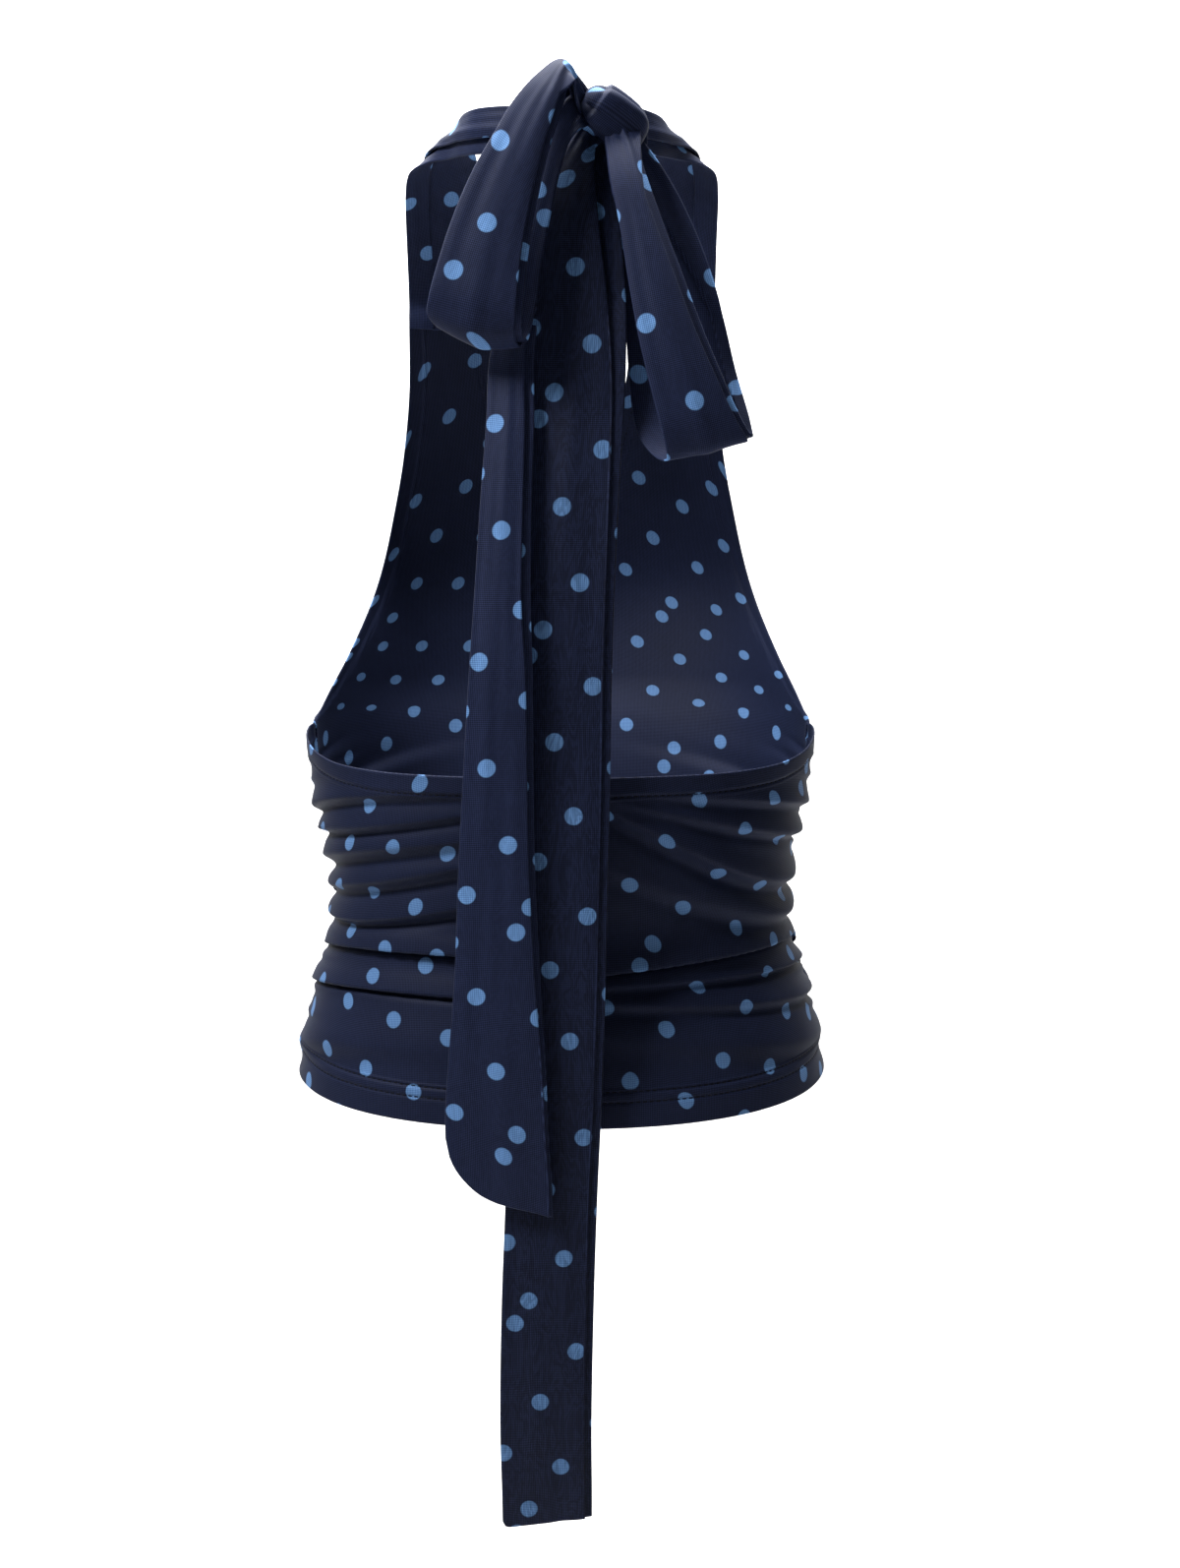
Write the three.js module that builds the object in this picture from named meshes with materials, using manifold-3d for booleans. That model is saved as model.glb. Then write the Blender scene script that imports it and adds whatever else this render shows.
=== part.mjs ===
// Halter neck top with a low ruched back, tied in a loose bow at the nape, in its worn form.
// Frame in millimetres: +Z up, +Y towards the wearer's back, +X towards the wearer's left.
// The origin is the nape: the inner face of the halter tie at the centre back of the neck.
import * as THREE from 'three';
import Module from 'manifold-3d';

const wasm = await Module();
wasm.setup();

// Driving sizes
const CLOTH = 1.5;              // wall of the panels: a turned, doubled stretch cloth
const TIE_CLOTH = 1.3;          // wall of the flat turned ties
const SEAM_GAP = 0.3;           // clearance between pieces that meet
const AXIS_Y = -70;             // plane of the side seams, behind which the back panel lies
const HEM_Z = -435;             // lower edge of both panels
const SQUARENESS = 2.3;         // exponent of the torso sections, a little squarer than an ellipse
const NECKLINE_LOW_Z = -178;    // lowest point of the front neckline
const STRAP_SEAM_Z = -55;       // where each front point joins its tie
const STRAP_START_RISES = [0.1, 3, 9];  // heights of a tie's first stations above its seam
const EDGE_TURNING = 9.3;       // depth of the turned and stitched top edge
const HEM_TURNING = 17;         // depth of the stitched hem
const TURNING_RISE = 0.5;       // how far a turned edge stands proud of the single cloth
const TURNING_STEP = 3;         // width over which that step fades

// Grid of the faceted surfaces
const BACK_COLUMNS = 24;
const BACK_ROWS = 44;
const FRONT_HALF_COLUMNS = 11;
const FRONT_FOLD_ROWS = 36;
const FRONT_BUST_ROWS = 7;
const FRONT_NECK_ROWS = 9;
const TIE_COLUMNS = 5;
const TIE_STEPS = { strapLeft: 28, strapRight: 26, loopLeft: 34, loopRight: 32, tail: 26 };

// Torso sections of a general figure: half width, and depths before and behind the seam plane
const FIGURE = [
  { z: -440, halfWidth: 136.0, front: 95, back: 108 },
  { z: -416, halfWidth: 131.5, front: 93, back: 105 },
  { z: -399, halfWidth: 127.5, front: 90, back: 102 },
  { z: -384, halfWidth: 122.5, front: 87, back: 98 },
  { z: -366, halfWidth: 116.2, front: 84, back: 93 },
  { z: -350, halfWidth: 114.8, front: 84, back: 92 },
  { z: -330, halfWidth: 115.8, front: 86, back: 95 },
  { z: -310, halfWidth: 119.0, front: 90, back: 98 },
  { z: -290, halfWidth: 124.0, front: 95, back: 100 },
  { z: -270, halfWidth: 126.5, front: 102, back: 102 },
  { z: -244, halfWidth: 127.0, front: 116, back: 104 },
  { z: -195, halfWidth: 132.0, front: 126, back: 105 },
  { z: -150, halfWidth: 137.0, front: 113, back: 105 },
  { z: -100, halfWidth: 140.0, front: 88, back: 100 },
  { z: -50, halfWidth: 128.0, front: 57, back: 90 },
];

// Height of the back panel's top edge, by share of the way from the centre to the side seam
const BACK_TOP = [
  { share: 0.00, z: -277.0 },
  { share: 0.35, z: -276.5 },
  { share: 0.55, z: -275.0 },
  { share: 0.70, z: -271.5 },
  { share: 0.85, z: -266.5 },
  { share: 1.00, z: -262.0 },
];

// Half widths of the front panel at its armhole edge and at its neckline
const FRONT_EDGES = [
  { z: -262, armhole: 127.0, neckline: 0 },
  { z: -250, armhole: 124.0, neckline: 0 },
  { z: -230, armhole: 117.0, neckline: 0 },
  { z: -200, armhole: 107.0, neckline: 0 },
  { z: -178, armhole: 101.0, neckline: 0 },
  { z: -150, armhole: 94.5, neckline: 13 },
  { z: -120, armhole: 88.0, neckline: 25 },
  { z: -85, armhole: 82.5, neckline: 34 },
  { z: -55, armhole: 80.0, neckline: 38 },
];

// Drape folds of the back, gathered at the side seams. Crest heights and rises are given near the centre
// (inner), half way and at the seam. Each fold falls away over `above` and `below` from its crest.
const BACK_FOLDS = [
  { side: 1, innerZ: -284, midZ: -287, seamZ: -302, inner: 0.3, mid: 1.6, seam: 3.0, above: 5.0, below: 3.6 },
  { side: 1, innerZ: -291, midZ: -301, seamZ: -311, inner: 0.8, mid: 2.0, seam: 2.8, above: 5.0, below: 3.2 },
  { side: 1, innerZ: -303, midZ: -312, seamZ: -326, inner: 1.0, mid: 2.2, seam: 3.6, above: 6.0, below: 4.5 },
  { side: 1, innerZ: -313, midZ: -327, seamZ: -339, inner: 1.2, mid: 2.4, seam: 2.6, above: 6.0, below: 4.5 },
  { side: 1, innerZ: -332, midZ: -345, seamZ: -352, inner: 1.2, mid: 2.6, seam: 3.2, above: 6.5, below: 4.0 },
  { side: 1, innerZ: -357, midZ: -358, seamZ: -369, inner: 3.4, mid: 3.6, seam: 4.0, above: 6.5, below: 3.2 },
  { side: 1, innerZ: -377, midZ: -377, seamZ: -388, inner: 2.2, mid: 2.8, seam: 4.0, above: 6.5, below: 3.6 },
  { side: 1, innerZ: -402, midZ: -404, seamZ: -424, inner: 0.0, mid: 0.8, seam: 1.6, above: 9.0, below: 6.0 },
  { side: -1, innerZ: -282, midZ: -289, seamZ: -299, inner: 0.2, mid: 1.5, seam: 2.6, above: 4.5, below: 3.2 },
  { side: -1, innerZ: -286, midZ: -302, seamZ: -312, inner: 0.6, mid: 1.8, seam: 3.2, above: 5.0, below: 3.4 },
  { side: -1, innerZ: -289, midZ: -320, seamZ: -331, inner: 2.0, mid: 3.2, seam: 3.0, above: 7.0, below: 3.6 },
  { side: -1, innerZ: -318, midZ: -341, seamZ: -350, inner: 1.6, mid: 2.6, seam: 3.2, above: 7.0, below: 4.2 },
  { side: -1, innerZ: -364, midZ: -361, seamZ: -364, inner: 3.6, mid: 3.0, seam: 3.4, above: 6.5, below: 3.2 },
  { side: -1, innerZ: -372, midZ: -372, seamZ: -378, inner: 1.8, mid: 2.2, seam: 3.2, above: 4.0, below: 3.4 },
  { side: -1, innerZ: -380, midZ: -385, seamZ: -395, inner: 1.4, mid: 1.6, seam: 2.4, above: 5.0, below: 3.6 },
  { side: -1, innerZ: -394, midZ: -404, seamZ: -417, inner: 0.6, mid: 0.9, seam: 1.8, above: 8.0, below: 6.0 },
];

// The front gathers into the same side seams, and its folds die away before the centre
const FRONT_FOLDS = [
  { side: 1, innerZ: -277, midZ: -284, seamZ: -302, inner: 0.0, mid: 0.8, seam: 3.0, above: 7.0, below: 5.0 },
  { side: 1, innerZ: -300, midZ: -306, seamZ: -324, inner: 0.0, mid: 1.4, seam: 3.2, above: 7.5, below: 5.0 },
  { side: 1, innerZ: -322, midZ: -329, seamZ: -345, inner: 0.3, mid: 1.8, seam: 3.2, above: 8.0, below: 5.0 },
  { side: 1, innerZ: -346, midZ: -352, seamZ: -366, inner: 0.6, mid: 2.0, seam: 3.8, above: 8.0, below: 5.0 },
  { side: 1, innerZ: -372, midZ: -376, seamZ: -388, inner: 0.3, mid: 1.4, seam: 3.6, above: 8.0, below: 5.0 },
  { side: 1, innerZ: -404, midZ: -408, seamZ: -422, inner: 0.0, mid: 0.6, seam: 2.2, above: 9.0, below: 6.0 },
  { side: -1, innerZ: -280, midZ: -290, seamZ: -308, inner: 0.0, mid: 1.0, seam: 3.0, above: 7.0, below: 5.0 },
  { side: -1, innerZ: -305, midZ: -314, seamZ: -331, inner: 0.2, mid: 1.6, seam: 3.2, above: 8.0, below: 5.0 },
  { side: -1, innerZ: -334, midZ: -341, seamZ: -352, inner: 0.6, mid: 2.0, seam: 3.4, above: 8.0, below: 5.0 },
  { side: -1, innerZ: -358, midZ: -362, seamZ: -372, inner: 0.3, mid: 1.6, seam: 3.6, above: 7.5, below: 5.0 },
  { side: -1, innerZ: -384, midZ: -388, seamZ: -396, inner: 0.0, mid: 1.0, seam: 2.8, above: 8.0, below: 5.0 },
];
const FOLD_SHARES = { inner: 0.1, mid: 0.45, seam: 0.95 };
const TROUGH_DEPTH = 0.45;      // depth of the crease under a fold, as a share of its rise
const TROUGH_DISTANCE = 1.7;    // how far that crease lies below the crest, in widths of the fold's lower side
const CENTRE_BLEND = 0.09;      // half width of the strip where left folds give way to right ones
const ROW_DROP = 34;            // how far the rows of the back sink towards the seams, as its folds do
const ROW_DROP_START = 0.22;    // share of the panel's height over which that drop sets in

const PLEAT_EDGE = 0.6;         // where a lengthwise pleat ends, as a share of the way from edge `a` to edge `b`
const START_BULGE = 1.2;        // how far a strap bulges where it leaves the front panel

// Stations of the flat ties: the two edges of the cloth, how far its middle bulges, and the rise of a
// lengthwise pleat. `a` is the upper or left edge, `b` the lower or right one, and `wider` is how much
// further out the right strap lies.
const STRAP = [
  { a: [39, -108, -6], b: [78.5, -101, -16], bulge: 1.5, pleat: 0.0, wider: 0.5 },
  { a: [41, -87, 12.5], b: [77, -84, 0], bulge: 2.0, pleat: 0.2, wider: 1.5 },
  { a: [43, -66, 18.5], b: [73, -67, 6], bulge: 2.0, pleat: 0.5, wider: 2.5 },
  { a: [45.5, -48, 19], b: [64, -54, 6.5], bulge: 1.5, pleat: 0.9, wider: 3.0 },
  { a: [45, -34, 18], b: [54, -41, 3.5], bulge: 1.0, pleat: 1.2, wider: 3.0 },
  { a: [41, -22, 17], b: [46.5, -27, 0.5], bulge: 0.8, pleat: 1.3, wider: 1.5 },
  { a: [34, -10.5, 15], b: [36, -12, -3], bulge: 0.6, pleat: 1.3, wider: 0.0 },
];
const STRAP_LEFT_END = [
  { a: [20, -1.8, 13], b: [21, -2, -5.5], bulge: 0.5, pleat: 1.0 },
  { a: [4, 1.3, 11], b: [4, 1.3, -6.5], bulge: 0.3, pleat: 0.6 },
  { a: [-8, 3.5, 9], b: [-8, 4, -6], bulge: 0.3, pleat: 0.3 },
  { a: [-17, 8, 7], b: [-17, 8, -5], bulge: 0.3, pleat: 0.0 },
];
const STRAP_RIGHT_END = [
  { a: [33, -4, 9.5], b: [33, -4, -5], bulge: 0.6, pleat: 0.6 },
  { a: [27, 4, 7.5], b: [27, 4, -4.5], bulge: 0.4, pleat: 0.2 },
  { a: [22, 10, 6], b: [22, 10, -4], bulge: 0.2, pleat: 0.0 },
];
const LOOP_LEFT = [
  { a: [-18, 15, 9], b: [-16, 16, -3], bulge: 0.0, pleat: 0.0 },
  { a: [-9.5, 22, 19], b: [-9.5, 26, 3], bulge: 2.0, pleat: 0.8 },
  { a: [-2, 26, 22.4], b: [-5, 33, 10], bulge: 2.0, pleat: 0.9 },
  { a: [8, 33, 13.5], b: [-2, 38, 0], bulge: 2.4, pleat: 0.9 },
  { a: [17, 38, 2], b: [2, 41, -14], bulge: 3.0, pleat: 0.9 },
  { a: [24, 42, -11], b: [4.5, 43.5, -26], bulge: 3.2, pleat: 0.8 },
  { a: [32, 44.5, -25], b: [7, 45.5, -38], bulge: 3.0, pleat: 0.7 },
  { a: [40, 47, -43], b: [10, 47.5, -54], bulge: 2.6, pleat: 0.5 },
  { a: [46, 48.5, -60], b: [12, 49, -69], bulge: 2.0, pleat: 0.4 },
  { a: [50.5, 48, -76], b: [13.7, 49, -84], bulge: 1.5, pleat: 0.2 },
  { a: [51, 43.5, -84], b: [14, 45, -92], bulge: 1.0, pleat: 0.0 },
  { a: [45, 38.5, -89.5], b: [13, 39, -95.5], bulge: 2.6, pleat: 0.0 },
  { a: [39, 34.5, -72], b: [10, 35, -80], bulge: 1.2, pleat: 0.0 },
  { a: [31, 31, -52], b: [8, 32, -59], bulge: 1.0, pleat: 0.4 },
  { a: [22, 28, -32], b: [5, 29, -39], bulge: 0.8, pleat: 0.6 },
  { a: [12, 24.5, -12], b: [1.5, 27.5, -20], bulge: 0.4, pleat: 0.4 },
  { a: [-1, 20, 0], b: [-4.5, 22.5, -7.5], bulge: 0.0, pleat: 0.0 },
  { a: [-14, 16, 4], b: [-15, 17, -3], bulge: 0.0, pleat: 0.0 },
];
const LOOP_RIGHT = [
  { a: [-19, 20, -2], b: [-29, 19, -1], bulge: 0.0, pleat: 0.0 },
  { a: [-21.5, 29.5, -13], b: [-34.5, 27, -11], bulge: 1.5, pleat: 0.9 },
  { a: [-23, 35.5, -26], b: [-39, 33, -26], bulge: 2.0, pleat: 1.1 },
  { a: [-27, 40, -47], b: [-46, 37, -46], bulge: 2.4, pleat: 1.0 },
  { a: [-30.5, 43, -69], b: [-53, 40, -65], bulge: 2.6, pleat: 0.9 },
  { a: [-35, 46, -93], b: [-61, 42, -86], bulge: 2.4, pleat: 0.6 },
  { a: [-40, 47, -113], b: [-69.5, 43, -106], bulge: 2.0, pleat: 0.3 },
  { a: [-45, 46.5, -131], b: [-77, 42, -122], bulge: 1.5, pleat: 0.0 },
  { a: [-47, 42, -141], b: [-83, 38.5, -132], bulge: 1.0, pleat: 0.0 },
  { a: [-42, 33, -139], b: [-83.5, 33, -131], bulge: 1.0, pleat: 0.0 },
  { a: [-35, 26, -128], b: [-82, 28.5, -122], bulge: 1.6, pleat: 0.0 },
  { a: [-31.5, 22, -104], b: [-77, 21, -103], bulge: 1.8, pleat: 0.4 },
  { a: [-30, 19, -78], b: [-71, 18, -78], bulge: 1.6, pleat: 0.7 },
  { a: [-28.5, 17, -54], b: [-63, 16, -53], bulge: 1.4, pleat: 0.9 },
  { a: [-27, 15, -30], b: [-52, 13.5, -29], bulge: 1.2, pleat: 0.9 },
  { a: [-25, 12.5, -12], b: [-40.5, 12, -11], bulge: 0.6, pleat: 0.4 },
  { a: [-23, 12, -3], b: [-31, 12, -3], bulge: 0.0, pleat: 0.0 },
];
const TAIL_LEFT = [
  { a: [-10, 13, -1], b: [-17, 13, -2], bulge: 0.0, pleat: 0.0 },
  { a: [-4, 14.5, -14], b: [-14, 14.5, -15], bulge: 0.6, pleat: 0.3 },
  { a: [4, 19, -34], b: [-7, 19, -35], bulge: 0.8, pleat: 0.5 },
  { a: [16, 23.5, -65], b: [3, 24, -65], bulge: 1.0, pleat: 0.6 },
  { a: [27, 29.5, -94], b: [12, 31.5, -94], bulge: 1.0, pleat: 0.6 },
  { a: [29, 36, -125], b: [12, 38, -125], bulge: 1.2, pleat: 0.8 },
  { a: [31.5, 41, -159], b: [12, 43.5, -159], bulge: 1.4, pleat: 0.9 },
  { a: [34, 44.5, -196], b: [11, 47, -196], bulge: 1.4, pleat: 0.9 },
  { a: [36.5, 47, -230], b: [10.2, 49.5, -230], bulge: 1.4, pleat: 0.8 },
  { a: [39.5, 48, -275], b: [10, 50, -275], bulge: 1.4, pleat: 0.8 },
  { a: [42, 49, -316], b: [9.5, 51, -316], bulge: 1.3, pleat: 0.7 },
  { a: [44, 50, -361], b: [7.5, 52, -361], bulge: 1.2, pleat: 0.5 },
  { a: [47, 51, -398], b: [5, 52.5, -403], bulge: 1.0, pleat: 0.3 },
  { a: [48.8, 51.5, -424], b: [4, 53, -432], bulge: 0.8, pleat: 0.2 },
  { a: [47.5, 52, -444], b: [2.5, 53, -456], bulge: 0.5, pleat: 0.0 },
  { a: [46, 52, -452], b: [2.5, 53, -470], bulge: 0.0, pleat: 0.0 },
];
const TAIL_RIGHT = [
  { a: [-12, 17.5, -1], b: [-22, 17.5, -1], bulge: 0.0, pleat: 0.0 },
  { a: [-9.5, 20, -13], b: [-23.5, 20, -13], bulge: 0.8, pleat: 0.4 },
  { a: [-1, 25, -38], b: [-26.5, 24.5, -38], bulge: 1.2, pleat: 1.2 },
  { a: [8, 29.5, -78], b: [-29.5, 29.5, -78], bulge: 1.2, pleat: 1.2 },
  { a: [12, 32, -114], b: [-29, 33, -114], bulge: 1.0, pleat: 1.0 },
  { a: [15, 35, -156], b: [-26.5, 36, -156], bulge: 1.0, pleat: 0.8 },
  { a: [17.5, 38.5, -217], b: [-24, 40, -217], bulge: 1.0, pleat: 0.7 },
  { a: [19, 41, -276], b: [-23, 42.5, -276], bulge: 0.8, pleat: 0.7 },
  { a: [20.5, 43, -339], b: [-21.7, 44, -339], bulge: 0.8, pleat: 0.6 },
  { a: [21.5, 45, -407], b: [-20, 45.5, -407], bulge: 0.8, pleat: 0.5 },
  { a: [23, 46.5, -466], b: [-17.5, 47, -466], bulge: 0.8, pleat: 0.5 },
  { a: [25, 48, -515], b: [-16, 48.5, -515], bulge: 0.8, pleat: 0.4 },
  { a: [26, 49.5, -571], b: [-15, 50, -571], bulge: 0.6, pleat: 0.3 },
  { a: [25.4, 50, -606], b: [-15.2, 50, -604], bulge: 0.4, pleat: 0.1 },
  { a: [25.2, 50, -622], b: [-15.2, 50, -617], bulge: 0.0, pleat: 0.0 },
];

// The knot: a pleated lump of wrapped cloth, its pleats running from its left pole to its lower right
const KNOT = {
  centre: new THREE.Vector3(-22.5, 15.5, 2.0),
  along: 13.2,                  // half length from pole to pole
  around: 11.6,                 // half height
  depth: 12.6,                  // half depth, front to back
  lean: -0.42,                  // turn of the pole axis, right end down, in radians
  squareness: 2.5,
  pleats: 9,
  pleatRise: 0.075,
};
const KNOT_CLEARANCE = 0.35;    // radial gap left round the knot, about the seam gap square to its surface
const KNOT_ROUND = 36;
const KNOT_ALONG = 14;

const DOTTED_NAVY = { color: 0x21243a, roughness: 0.62, metalness: 0 };

const clamp01 = (value) => Math.min(1, Math.max(0, value));
const smooth = (value) => clamp01(value) ** 2 * (3 - 2 * clamp01(value));
const mix = THREE.MathUtils.lerp;

// Smooth value of one column of a table at a key, in rising order, by cubic pieces with limited slopes
function tableValue(rows, keyName, columnName, key) {
  const last = rows.length - 1;
  const keys = rows.map((row) => row[keyName]);
  const values = rows.map((row) => row[columnName]);
  if (key <= keys[0]) return values[0];
  if (key >= keys[last]) return values[last];
  let i = 0;
  while (keys[i + 1] < key) i += 1;
  const slope = (k) => (values[k + 1] - values[k]) / (keys[k + 1] - keys[k]);
  const tangent = (k) => {
    if (k === 0) return slope(0);
    if (k === last) return slope(last - 1);
    const product = slope(k - 1) * slope(k);
    return product <= 0 ? 0 : (2 * product) / (slope(k - 1) + slope(k));
  };
  const span = keys[i + 1] - keys[i];
  const t = (key - keys[i]) / span;
  const start = (1 + 2 * t) * (1 - t) ** 2 * values[i] + t * (1 - t) ** 2 * span * tangent(i);
  const end = t * t * (3 - 2 * t) * values[i + 1] + t * t * (t - 1) * span * tangent(i + 1);
  return start + end;
}

// A point of the torso at a signed angle from the centre line (0) to a side seam (a quarter turn),
// behind (face 1) or before (face -1) the seam plane, with its horizontal outward direction
function torsoPoint(face, angle, z) {
  const halfWidth = tableValue(FIGURE, 'z', 'halfWidth', z);
  const depth = tableValue(FIGURE, 'z', face > 0 ? 'back' : 'front', z);
  const power = 2 / SQUARENESS;
  const across = Math.sign(angle) * Math.abs(Math.sin(angle)) ** power;
  const deep = Math.max(0, Math.cos(angle)) ** power;
  const normal = new THREE.Vector3(
    Math.sign(across) * Math.abs(across) ** (SQUARENESS - 1) / halfWidth,
    face * deep ** (SQUARENESS - 1) / depth,
    0,
  ).normalize();
  const point = new THREE.Vector3(halfWidth * across, AXIS_Y + face * (depth * deep + SEAM_GAP / 2), z);
  return { point, normal };
}

// Angle at which the torso section reaches a given half width
function angleAtWidth(width, z) {
  const share = clamp01(width / tableValue(FIGURE, 'z', 'halfWidth', z));
  return Math.asin(share ** (SQUARENESS / 2));
}

// Height of a crest or size of a rise along a fold, through its three named values
function alongFold(share, inner, mid, seam) {
  const { inner: s0, mid: s1, seam: s2 } = FOLD_SHARES;
  const first = (share - s1) * (share - s2) / ((s0 - s1) * (s0 - s2));
  const second = (share - s0) * (share - s2) / ((s1 - s0) * (s1 - s2));
  const third = (share - s0) * (share - s1) / ((s2 - s0) * (s2 - s1));
  return inner * first + mid * second + seam * third;
}

// How far the drape folds push the cloth out at a signed share from centre to seam
function foldRise(folds, signedShare, z) {
  const share = Math.abs(signedShare);
  let rise = 0;
  for (const fold of folds) {
    const sideWeight = smooth(0.5 + 0.5 * fold.side * signedShare / CENTRE_BLEND);
    if (sideWeight === 0) continue;
    const height = Math.max(0, alongFold(share, fold.inner, fold.mid, fold.seam));
    const offset = z - alongFold(share, fold.innerZ, fold.midZ, fold.seamZ);
    const width = offset > 0 ? fold.above : fold.below;
    const crest = Math.exp(-((offset / width) ** 2));
    const trough = Math.exp(-((offset / fold.below + TROUGH_DISTANCE) ** 2));
    rise += sideWeight * height * (crest - TROUGH_DEPTH * trough);
  }
  return rise;
}

// Rise of a turned edge at a distance from it
const turningRise = (distance, depth) => TURNING_RISE * (1 - smooth((distance - depth) / TURNING_STEP + 0.5));

// Solid wall under an open patch: `vertices` hold point and outward normal, `quads` run
// counter-clockwise as seen from outside, and the rims close every open edge
function wall(patch, thickness) {
  const { vertices, quads } = patch;
  const count = vertices.length;
  const position = new Float32Array(count * 6);
  vertices.forEach(({ point, normal }, i) => {
    point.toArray(position, i * 3);
    point.clone().addScaledVector(normal, -thickness).toArray(position, (count + i) * 3);
  });
  const index = [];
  const edgeUse = new Map();
  for (const quad of quads) {
    const [a, b, c, d] = quad;
    index.push(a, b, c, a, c, d);
    index.push(count + a, count + c, count + b, count + a, count + d, count + c);
    quad.forEach((from, k) => {
      const to = quad[(k + 1) % 4];
      edgeUse.set(`${from} ${to}`, [from, to]);
    });
  }
  for (const [from, to] of edgeUse.values()) {
    if (edgeUse.has(`${to} ${from}`)) continue;
    index.push(to, from, count + from, to, count + from, count + to);
  }
  const geometry = new THREE.BufferGeometry();
  geometry.setAttribute('position', new THREE.BufferAttribute(position, 3));
  geometry.setIndex(index);
  return geometry;
}

// Patch from a full grid of vertices given row by row
function gridPatch(rows) {
  const columns = rows[0].length;
  const quads = [];
  for (let r = 0; r + 1 < rows.length; r += 1) {
    for (let c = 0; c + 1 < columns; c += 1) {
      const corner = r * columns + c;
      quads.push([corner, corner + columns, corner + columns + 1, corner + 1]);
    }
  }
  return { vertices: rows.flat(), quads };
}

function pushOut(vertex, distance) {
  vertex.point.addScaledVector(vertex.normal, distance);
  return vertex;
}

// Back panel: from the left seam to the right seam, and from its top edge down to the hem
function backPanel() {
  const rows = [];
  for (let r = 0; r <= BACK_ROWS; r += 1) {
    const row = [];
    const down = r / BACK_ROWS;
    const rowDrop = ROW_DROP * smooth(down / ROW_DROP_START) * (1 - down);
    for (let c = 0; c <= BACK_COLUMNS; c += 1) {
      const share = 1 - 2 * c / BACK_COLUMNS;
      const topZ = tableValue(BACK_TOP, 'share', 'z', Math.abs(share));
      const z = mix(topZ, HEM_Z, down) - rowDrop * smooth(Math.abs(share));
      const turned = turningRise(topZ - z, EDGE_TURNING) + turningRise(z - HEM_Z, HEM_TURNING);
      const vertex = torsoPoint(1, share * Math.PI / 2, z);
      row.push(pushOut(vertex, foldRise(BACK_FOLDS, share, z) + turned));
    }
    rows.push(row);
  }
  return wall(gridPatch(rows), CLOTH);
}

// Heights of the front panel's rows, from the hem up, closer where the cloth is gathered
function frontRowHeights() {
  const spans = [
    { from: HEM_Z, to: BACK_TOP.at(-1).z, rows: FRONT_FOLD_ROWS },
    { from: BACK_TOP.at(-1).z, to: NECKLINE_LOW_Z, rows: FRONT_BUST_ROWS },
    { from: NECKLINE_LOW_Z, to: STRAP_SEAM_Z, rows: FRONT_NECK_ROWS },
  ];
  const heights = [HEM_Z];
  for (const { from, to, rows } of spans) {
    for (let r = 1; r <= rows; r += 1) heights.push(mix(from, to, r / rows));
  }
  return heights;
}

// Front panel: two halves that share their centre column below the neckline
function frontPanel() {
  const heights = frontRowHeights();
  const vertices = [];
  const quads = [];
  const centreIds = heights.map(() => null);
  for (const side of [1, -1]) {
    const ids = heights.map((z, r) => {
      const seamTop = BACK_TOP.at(-1).z;
      const outer = z <= seamTop ? Math.PI / 2 : angleAtWidth(tableValue(FRONT_EDGES, 'z', 'armhole', z), z);
      const inner = angleAtWidth(tableValue(FRONT_EDGES, 'z', 'neckline', z), z);
      const row = [];
      for (let c = 0; c <= FRONT_HALF_COLUMNS; c += 1) {
        if (c === 0 && z <= NECKLINE_LOW_Z && centreIds[r] !== null) {
          row.push(centreIds[r]);
          continue;
        }
        const angle = side * mix(inner, outer, c / FRONT_HALF_COLUMNS);
        const share = angle / (Math.PI / 2);
        const vertex = torsoPoint(-1, angle, z);
        const rise = foldRise(FRONT_FOLDS, share, z) + turningRise(z - HEM_Z, HEM_TURNING);
        row.push(vertices.push(pushOut(vertex, rise)) - 1);
      }
      if (z <= NECKLINE_LOW_Z) centreIds[r] = row[0];
      return row;
    });
    for (let r = 0; r + 1 < ids.length; r += 1) {
      for (let c = 0; c < FRONT_HALF_COLUMNS; c += 1) {
        const quad = [ids[r][c], ids[r][c + 1], ids[r + 1][c + 1], ids[r + 1][c]];
        quads.push(side > 0 ? quad : quad.reverse());
      }
    }
  }
  return wall({ vertices, quads }, CLOTH);
}

// Smooth stations of a tie at even steps along its table
function tieStations(table, steps) {
  const curve = (edge) => new THREE.CatmullRomCurve3(
    table.map((row) => new THREE.Vector3(...row[edge])), false, 'centripetal',
  );
  const curveA = curve('a');
  const curveB = curve('b');
  const keyed = table.map((row, i) => ({ ...row, key: i / (table.length - 1) }));
  return Array.from({ length: steps + 1 }, (_, i) => {
    const key = i / steps;
    return {
      a: curveA.getPoint(key),
      b: curveB.getPoint(key),
      bulge: tableValue(keyed, 'key', 'bulge', key),
      pleat: tableValue(keyed, 'key', 'pleat', key),
    };
  });
}

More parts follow.
